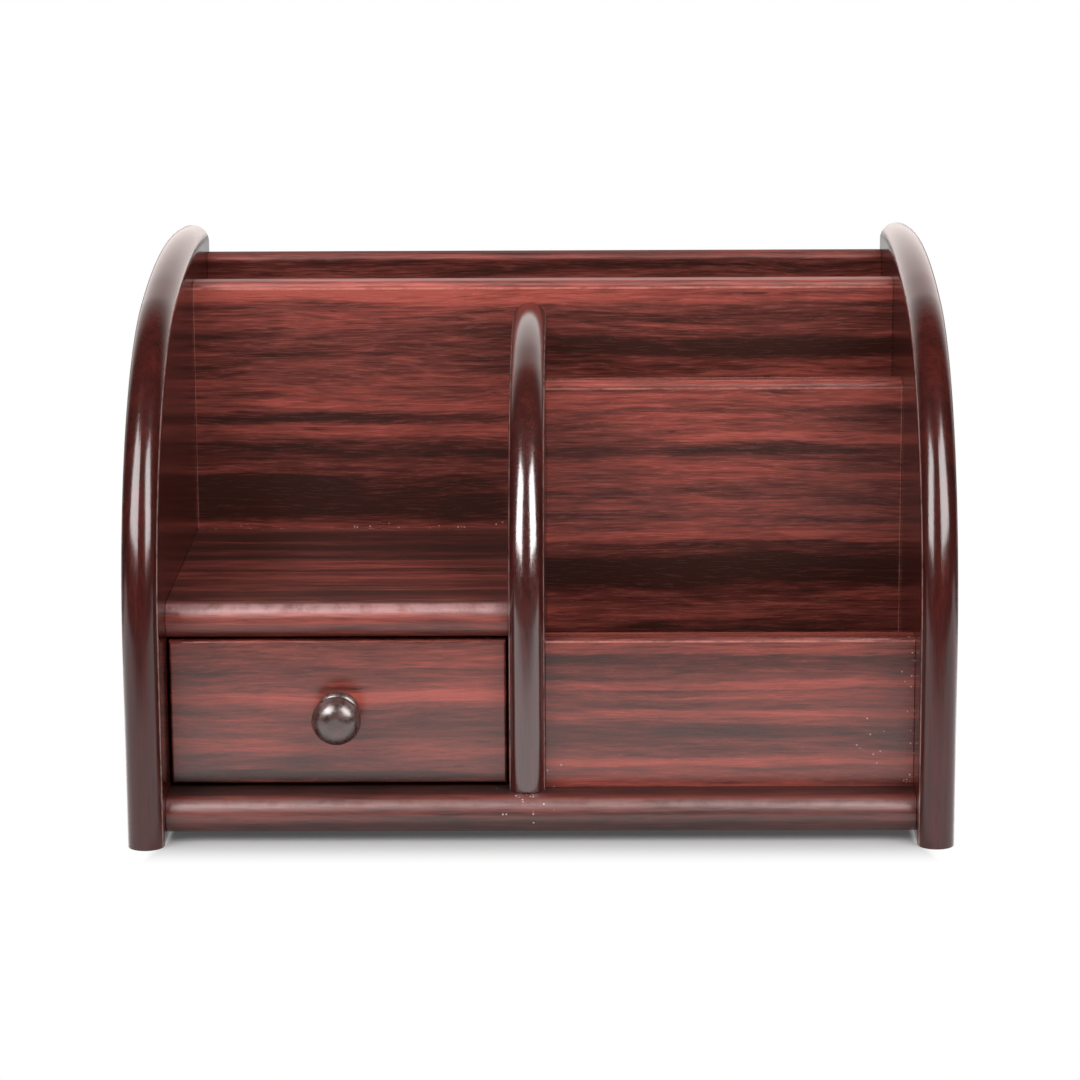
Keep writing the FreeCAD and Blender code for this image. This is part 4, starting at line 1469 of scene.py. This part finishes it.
    def place_camera(self) -> None:
        """Set the camera at the photograph's place and angle."""
        camera = bpy.data.cameras.new("photo_camera")
        camera.sensor_fit = "HORIZONTAL"
        camera.sensor_width = self.camera_sensor
        camera.lens = self.camera_lens
        camera.clip_start, camera.clip_end = self.camera_range
        holder = bpy.data.objects.new("photo_camera", camera)
        bpy.context.scene.collection.objects.link(holder)
        yaw, pitch, roll = self.camera_yaw, self.camera_pitch, self.camera_roll
        ahead = Vector(
            (math.sin(yaw) * math.cos(pitch), math.cos(yaw) * math.cos(pitch), math.sin(pitch))
        )
        right = Vector((math.cos(yaw), -math.sin(yaw), 0.0))
        above = right.cross(ahead)
        across = math.cos(roll) * right + math.sin(roll) * above
        upward = -math.sin(roll) * right + math.cos(roll) * above
        turn = Matrix((across, upward, -ahead)).transposed()
        holder.matrix_world = Matrix.Translation(self.camera_place) @ turn.to_4x4()
        bpy.context.scene.camera = holder

    def hang_lamps(self) -> None:
        """Hang a lamp and a strip that shines on each side."""
        for word, side in (("left", -1.0), ("right", 1.0)):
            place, run, strip_place = (
                (side * x, y, z) for x, y, z in (self.lamp_place, self.lamp_run, self.strip_place)
            )
            Softbox(f"softbox_{word}", place, run, *self.lamp_size, self.lamp_level, False).hang()
            upright = (0.0, 0.0, 1.0)
            Softbox(
                f"strip_{word}", strip_place, upright, *self.strip_size, self.strip_level, True
            ).hang()

    def build(self) -> None:
        """Set up the whole studio."""
        self.lay_floor()
        self.light_world()
        self.hang_lamps()
        self.place_camera()
        bpy.context.scene.view_settings.view_transform = "Standard"


# Assembly


def level_light_line(y: float, z: float, width: float, strength: float) -> Line:
    """Lay a thin light line along the width of the object; it serves for foil seams and wear, and
    for painted highlights on the noses.
    """
    return Line((0.0, y, z), (0.0, 1.0, 1.0), width, strength)


def upright_light_line(x: float, y: float, width: float, strength: float) -> Line:
    """Lay a thin light line along the height of the object, at a joint: glue and wear, partly a
    painted highlight on the edge.
    """
    return Line((x, y, 0.0), (1.0, 1.0, 0.0), width, strength)


# Broad bands per board. Most are streaks of the print. The dark bands behind the base's nose, over
# the shelf's rear, low on the middle panel's left part, across its right part and low on the pocket
# panel are painted shade in recesses. The light bands just under the panels' top edges are partly
# painted light. The depth set for each board also paints part of that board's light and shade.
BASE_BANDS = (Band(-92.0, 5.0, 0.22), Band(-80.0, 9.0, -0.25))
SHELF_BANDS = (Band(-79.0, 5.5, 0.12), Band(-60.0, 14.0, -0.2), Band(10.0, 34.0, -0.4))
BACK_BANDS = (Band(164.5, 1.5, 0.1), Band(160.0, 3.5, -0.25))
MIDDLE_BANDS = (
    Band(159.5, 4.0, 0.3), Band(121.0, 3.0, 0.18, right=-10.0),
    Band(116.0, 2.4, -0.42, right=-10.0), Band(112.0, 2.5, 0.16, right=-10.0),
    Band(105.0, 4.0, -0.15, right=-10.0), Band(88.0, 12.0, -0.55, right=-10.0),
    Band(152.0, 4.0, -0.1, left=2.0), Band(148.0, 1.5, 0.14, left=2.0),
    Band(141.0, 5.0, -0.45, left=2.0),
)
POCKET_BANDS = (
    Band(131.0, 3.0, 0.32), Band(118.0, 2.0, 0.3, left=45.0), Band(114.0, 1.8, -0.22, left=45.0),
    Band(109.5, 2.0, 0.15), Band(97.0, 9.0, 0.05), Band(84.0, 2.2, 0.28),
    Band(80.5, 2.0, -0.2), Band(71.0, 8.0, -0.6),
)
TRAY_BANDS = (
    Band(61.5, 2.6, 0.3), Band(56.5, 4.0, -0.15), Band(49.0, 2.0, 0.32), Band(45.0, 2.0, 0.1),
    Band(39.0, 2.0, 0.25), Band(33.5, 3.0, -0.22), Band(22.8, 1.8, 0.22),
)
DRAWER_BANDS = (
    Band(62.0, 2.0, -0.1), Band(56.0, 2.5, 0.12), Band(51.0, 3.0, -0.1),
    Band(44.5, 2.6, 0.3), Band(33.5, 4.0, -0.15), Band(17.5, 3.0, -0.35),
)


@dataclass
class Carcass:
    """The fixed boards of the organiser."""

    side_straight: float = 68.0 * MM
    divider_straight: float = 54.5 * MM
    shoulder_share: float = 0.945
    side_crown_share: float = 1.84
    divider_crown_share: float = 1.36
    foil_end: float = 5.6 * MM
    foil_line_width: float = 0.24 * MM
    foil_line_strength: float = 0.7
    crest_inset: float = 2.0 * MM
    base_crest_drop: float = 1.5 * MM
    shelf_crest_drop: float = 1.7 * MM
    foot_speck_gap: float = 2.5 * MM
    panel_round: float = 2.4 * MM
    tray_round: float = 1.2 * MM
    worn_reach: float = 2.2 * MM
    middle_joint_inset: float = 0.2 * MM
    pocket_joint_inset: float = 0.3 * MM
    pocket_top_inset: float = 1.5 * MM
    tray_edge_inset: float = 0.6 * MM
    tray_left_specks: tuple[float, float] = (1.4 * MM, 2.5 * MM)
    tray_right_specks: tuple[float, float] = (16.0 * MM, 14.5 * MM)
    divider_screw_inset: float = 28.0 * MM
    panel_screw_inset: float = 45.0 * MM
    screw_sink: float = 0.12 * MM

    def build(self) -> None:
        """Build and dress every fixed board."""
        side_arch = (self.side_straight, self.shoulder_share, self.side_crown_share)
        divider_arch = (self.divider_straight, self.shoulder_share, self.divider_crown_share)
        for word, node, foil_name, seed, gloss, arch in (
            ("left", "left_side_panel", "left_side_foil", (0.31, 0.12, 0.45), 0.38, side_arch),
            ("right", "right_side_panel", "right_side_foil", (0.77, 0.52, 0.15), 0.38, side_arch),
            ("divider", "center_divider", "divider_foil", (0.2, 0.9, 0.33), 0.9, divider_arch),
        ):
            foil = RosewoodFoil(
                foil_name, Grain.ALONG_HEIGHT, seed, SIDE_STOPS, contrast=0.7, roughness=0.17,
                gloss=gloss, peel_depth=0.008 * MM, peel_scale=2800.0,
                wear_and_sheen_colour=(0.55, 0.36, 0.32), lines=self.nose_lines(node),
            )
            ArchBoard(f"{word}_arch_board", node, foil, *arch).build()
        self.level_boards()
        self.back_panel()
        self.middle_panel()
        self.pocket_panel()
        self.pen_tray_panel()

    def nose_lines(self, node: str) -> tuple[Line, ...]:
        """Lay the two thin lines where the foil ends on a board's nose.

        Args:
            node: CAD node of the board.

        Returns:
            The lines.
        """
        x = middle_of(node).x
        look = ((1.0, 0.0, 0.0), self.foil_line_width, self.foil_line_strength)
        return tuple(
            Line((x + side * self.foil_end, 0.0, 0.0), *look) for side in (-1.0, 1.0)
        )

    def level_boards(self) -> None:
        """Build the base with its screws, and the shelf."""
        base_low, base_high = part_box("base_board")
        shelf_low, shelf_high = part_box("drawer_bay_shelf")
        divider_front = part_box("center_divider")[0].y
        foot = (middle_of("center_divider").x, divider_front - self.foot_speck_gap, base_high.z)
        base_crest = (base_low.y + self.crest_inset, base_high.z - self.base_crest_drop)
        shelf_crest = (shelf_low.y + self.crest_inset, shelf_high.z - self.shelf_crest_drop)
        joint = (0.0, shelf_high.y, shelf_high.z)
        base_foil = RosewoodFoil(
            "base_foil", Grain.ALONG_WIDTH, (0.5, 0.1, 0.7), contrast=0.9, depth=0.44,
            across=(0.0, 1.0, 0.0), roughness=0.36, gloss=0.66, peel_depth=0.03 * MM,
            peel_scale=700.0, wear_and_sheen_colour=(0.27, 0.14, 0.13), bands=BASE_BANDS,
            # The light line along the crest of the base's nose is a painted highlight, with some
            # wear.
            lines=(level_light_line(*base_crest, 2.2 * MM, 0.5),),
            specks=(Specks(foot, (1.0, 1.0, 1.0), 14.0 * MM, 0.35),),
        )
        places = self.screw_places()
        NosedBoard("base_nosed_board", "base_board", base_foil).build(places)
        self.base_screws(places)
        shelf_foil = replace(
            base_foil, name="shelf_foil", seed=(0.25, 0.6, 0.2), depth=0.92, gloss=0.5,
            wear_and_sheen_colour=(0.50, 0.27, 0.26), bands=SHELF_BANDS,
            # The light line along the crest of the shelf's nose is a painted highlight, with some
            # wear.
            lines=(level_light_line(*shelf_crest, 2.8 * MM, 0.7),),
            specks=(Specks(joint, (0.0, 1.0, 1.0), 4.0 * MM, 0.25),),
        )
        NosedBoard("shelf_nosed_board", "drawer_bay_shelf", shelf_foil).build()

    def screw_places(self) -> list[Vector]:
        """Find where the screws come up through the base's lower face.

        Returns:
            The middles of the screw heads.
        """
        low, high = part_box("center_divider")
        x = middle_of("center_divider").x
        spots = [(x, low.y + self.divider_screw_inset), (x, high.y - self.divider_screw_inset)]
        for node in ("pen_tray_panel", "pocket_panel"):
            spots.append(middle_of(node).xy)
        for node in ("middle_panel", "back_panel"):
            low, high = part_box(node)
            for x in (low.x + self.panel_screw_inset, high.x - self.panel_screw_inset):
                spots.append((x, middle_of(node).y))
        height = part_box("base_board")[0].z
        return [Vector((x, y, height)) for x, y in spots]

    def base_screws(self, places: Sequence[Vector]) -> None:
        """Model one screw under the base and lay copies of it at the other places.

        Args:
            places: The middles of the screw heads.
        """
        pattern = CrossScrew(
            "base_screw_set", Head.SUNK, head_radius=3.1 * MM, head_height=1.6 * MM,
            shank_radius=1.6 * MM, length=27.0 * MM, arm_length=1.7 * MM, arm_width=0.5 * MM,
        )
        screws = [pattern.make(places[0] + self.screw_sink * UPWARD, UPWARD)]
        for place in places[1:]:
            only(screws[0].piece)
            bpy.ops.object.duplicate(linked=False)
            bpy.context.view_layer.objects.active.location = place - places[0]
            screws.append(Blank("base_screw"))
        gather(screws).dress(Body.CARCASS, "zinc_steel", ZincSteel().make(), ["base_screws"])

    def back_panel(self) -> None:
        """Build the rear panel."""
        foil = RosewoodFoil(
            "back_foil", Grain.ALONG_WIDTH, (0.1, 0.2, 0.9), contrast=0.85, depth=0.9, gloss=0.2,
            worn_from=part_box("back_panel")[1].z - self.worn_reach, bands=BACK_BANDS,
        )
        CrossPanel("back_cross_panel", "back_panel", foil, self.panel_round).build()

    def middle_panel(self) -> None:
        """Build the panel behind the shelf and the pocket."""
        low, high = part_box("middle_panel")
        shelf_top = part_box("drawer_bay_shelf")[1].z
        foil = RosewoodFoil(
            "middle_foil", Grain.ALONG_WIDTH, (0.4, 0.8, 0.1), contrast=0.85, depth=1.2, gloss=0.35,
            worn_from=high.z - self.worn_reach, worn_roughness=0.5, bands=MIDDLE_BANDS,
            lines=(
                level_light_line(low.y, high.z - self.panel_round, 0.55 * MM, 0.85),
                # The upright line at the panel's left end is glue and wear, partly a painted
                # highlight on the edge.
                upright_light_line(low.x + self.middle_joint_inset, low.y, 0.3 * MM, 0.35),
            ),
            specks=(Specks((0.0, low.y, shelf_top), (0.0, 1.0, 1.0), 3.0 * MM, 0.2),),
        )
        CrossPanel("middle_cross_panel", "middle_panel", foil, self.panel_round).build()

    def pocket_panel(self) -> None:
        """Build the panel of medium height in the right bay."""
        low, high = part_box("pocket_panel")
        foil = RosewoodFoil(
            "pocket_foil", Grain.ALONG_WIDTH, (0.9, 0.3, 0.5), contrast=0.85, depth=1.1,
            bands=POCKET_BANDS,
            lines=(
                level_light_line(low.y, high.z - self.panel_round, 0.5 * MM, 0.6),
                # The wide light line on the pocket panel's top is partly wear, partly a painted
                # reflection.
                level_light_line(high.y - self.pocket_top_inset, high.z, 2.2 * MM, 0.35),
                # The upright line at the panel's right end is glue and wear, partly a painted
                # highlight on the edge.
                upright_light_line(high.x - self.pocket_joint_inset, low.y, 0.3 * MM, 0.35),
            ),
        )
        CrossPanel("pocket_cross_panel", "pocket_panel", foil, self.panel_round).build()

    def pen_tray_panel(self) -> None:
        """Build the low panel at the front of the right bay, with specks at its joints."""
        low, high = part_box("pen_tray_panel")
        (left_x, left_z), (right_x, right_z) = self.tray_left_specks, self.tray_right_specks
        edge = (high.x - self.tray_edge_inset, low.y, 0.0)
        left_corner = (low.x + left_x, low.y, low.z + left_z)
        right_corner = (high.x - right_x, low.y, low.z + right_z)
        foil = RosewoodFoil(
            "tray_foil", Grain.ALONG_WIDTH, (0.6, 0.5, 0.3), contrast=0.65, depth=1.08, gloss=0.55,
            bands=TRAY_BANDS, lines=(level_light_line(low.y, high.z - self.tray_round, 0.5 * MM, 0.8),),
            specks=(
                Specks(edge, (1.0, 1.0, 0.0), 5.0 * MM, 0.4),
                Specks(left_corner, (1.0, 1.0, 1.0), 9.0 * MM, 0.35),
                Specks(right_corner, (1.0, 1.0, 1.0), 12.0 * MM, 0.2),
            ),
        )
        CrossPanel("tray_cross_panel", "pen_tray_panel", foil, self.tray_round).build()


@dataclass
class Drawer:
    """The sliding drawer with its knob."""

    box_nodes: tuple[str, ...] = (
        "drawer_left_side", "drawer_right_side", "drawer_back", "drawer_bottom"
    )
    screw_tip: float = 0.5 * MM

    def build(self) -> None:
        """Build the face, the knob and its screw, and dress the box."""
        foil = RosewoodFoil(
            "drawer_face_foil", Grain.ALONG_WIDTH, (0.15, 0.35, 0.6), contrast=0.7, depth=1.12,
            gloss=0.6, bands=DRAWER_BANDS,
        )
        DrawerFace("drawer_face_board", "drawer_front", foil).build()
        TurnedKnob("turned_knob", "drawer_knob", KnobLacquer()).build()
        low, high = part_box("knob_screw")
        screw = CrossScrew(
            "knob_fixing_screw", Head.PAN, head_radius=3.4 * MM, head_height=2.2 * MM,
            shank_radius=1.5 * MM, length=high.y - low.y - self.screw_tip,
        )
        made = screw.make(rear_of("knob_screw"), FORWARD)
        made.dress(Body.DRAWER, "zinc_steel", ZincSteel("knob_screw_zinc").make(), ["knob_screw"])
        finish_nodes(self.box_nodes, BOX_STAIN.make())
        finish_nodes(("drawer_brads",), ZincSteel("brad_zinc").make())


def finish_nodes(names: Sequence[str], material: bpy.types.Material) -> None:
    """Give CAD nodes that stay a better material.

    Args:
        names: The nodes.
        material: The material.
    """
    for name in names:
        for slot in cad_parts[name].material_slots:
            slot.material = material
        LOG.info("%s keeps its solid", name)


def main() -> None:
    """Build the studio and every part of the organiser."""
    logging.basicConfig(level=logging.INFO, format="%(message)s")
    Studio().build()
    Carcass().build()
    Drawer().build()
    dowels = [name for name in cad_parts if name.endswith("_dowels")]
    finish_nodes(dowels, RAW_BEECH.make())


if __name__ == "__main__":
    main()
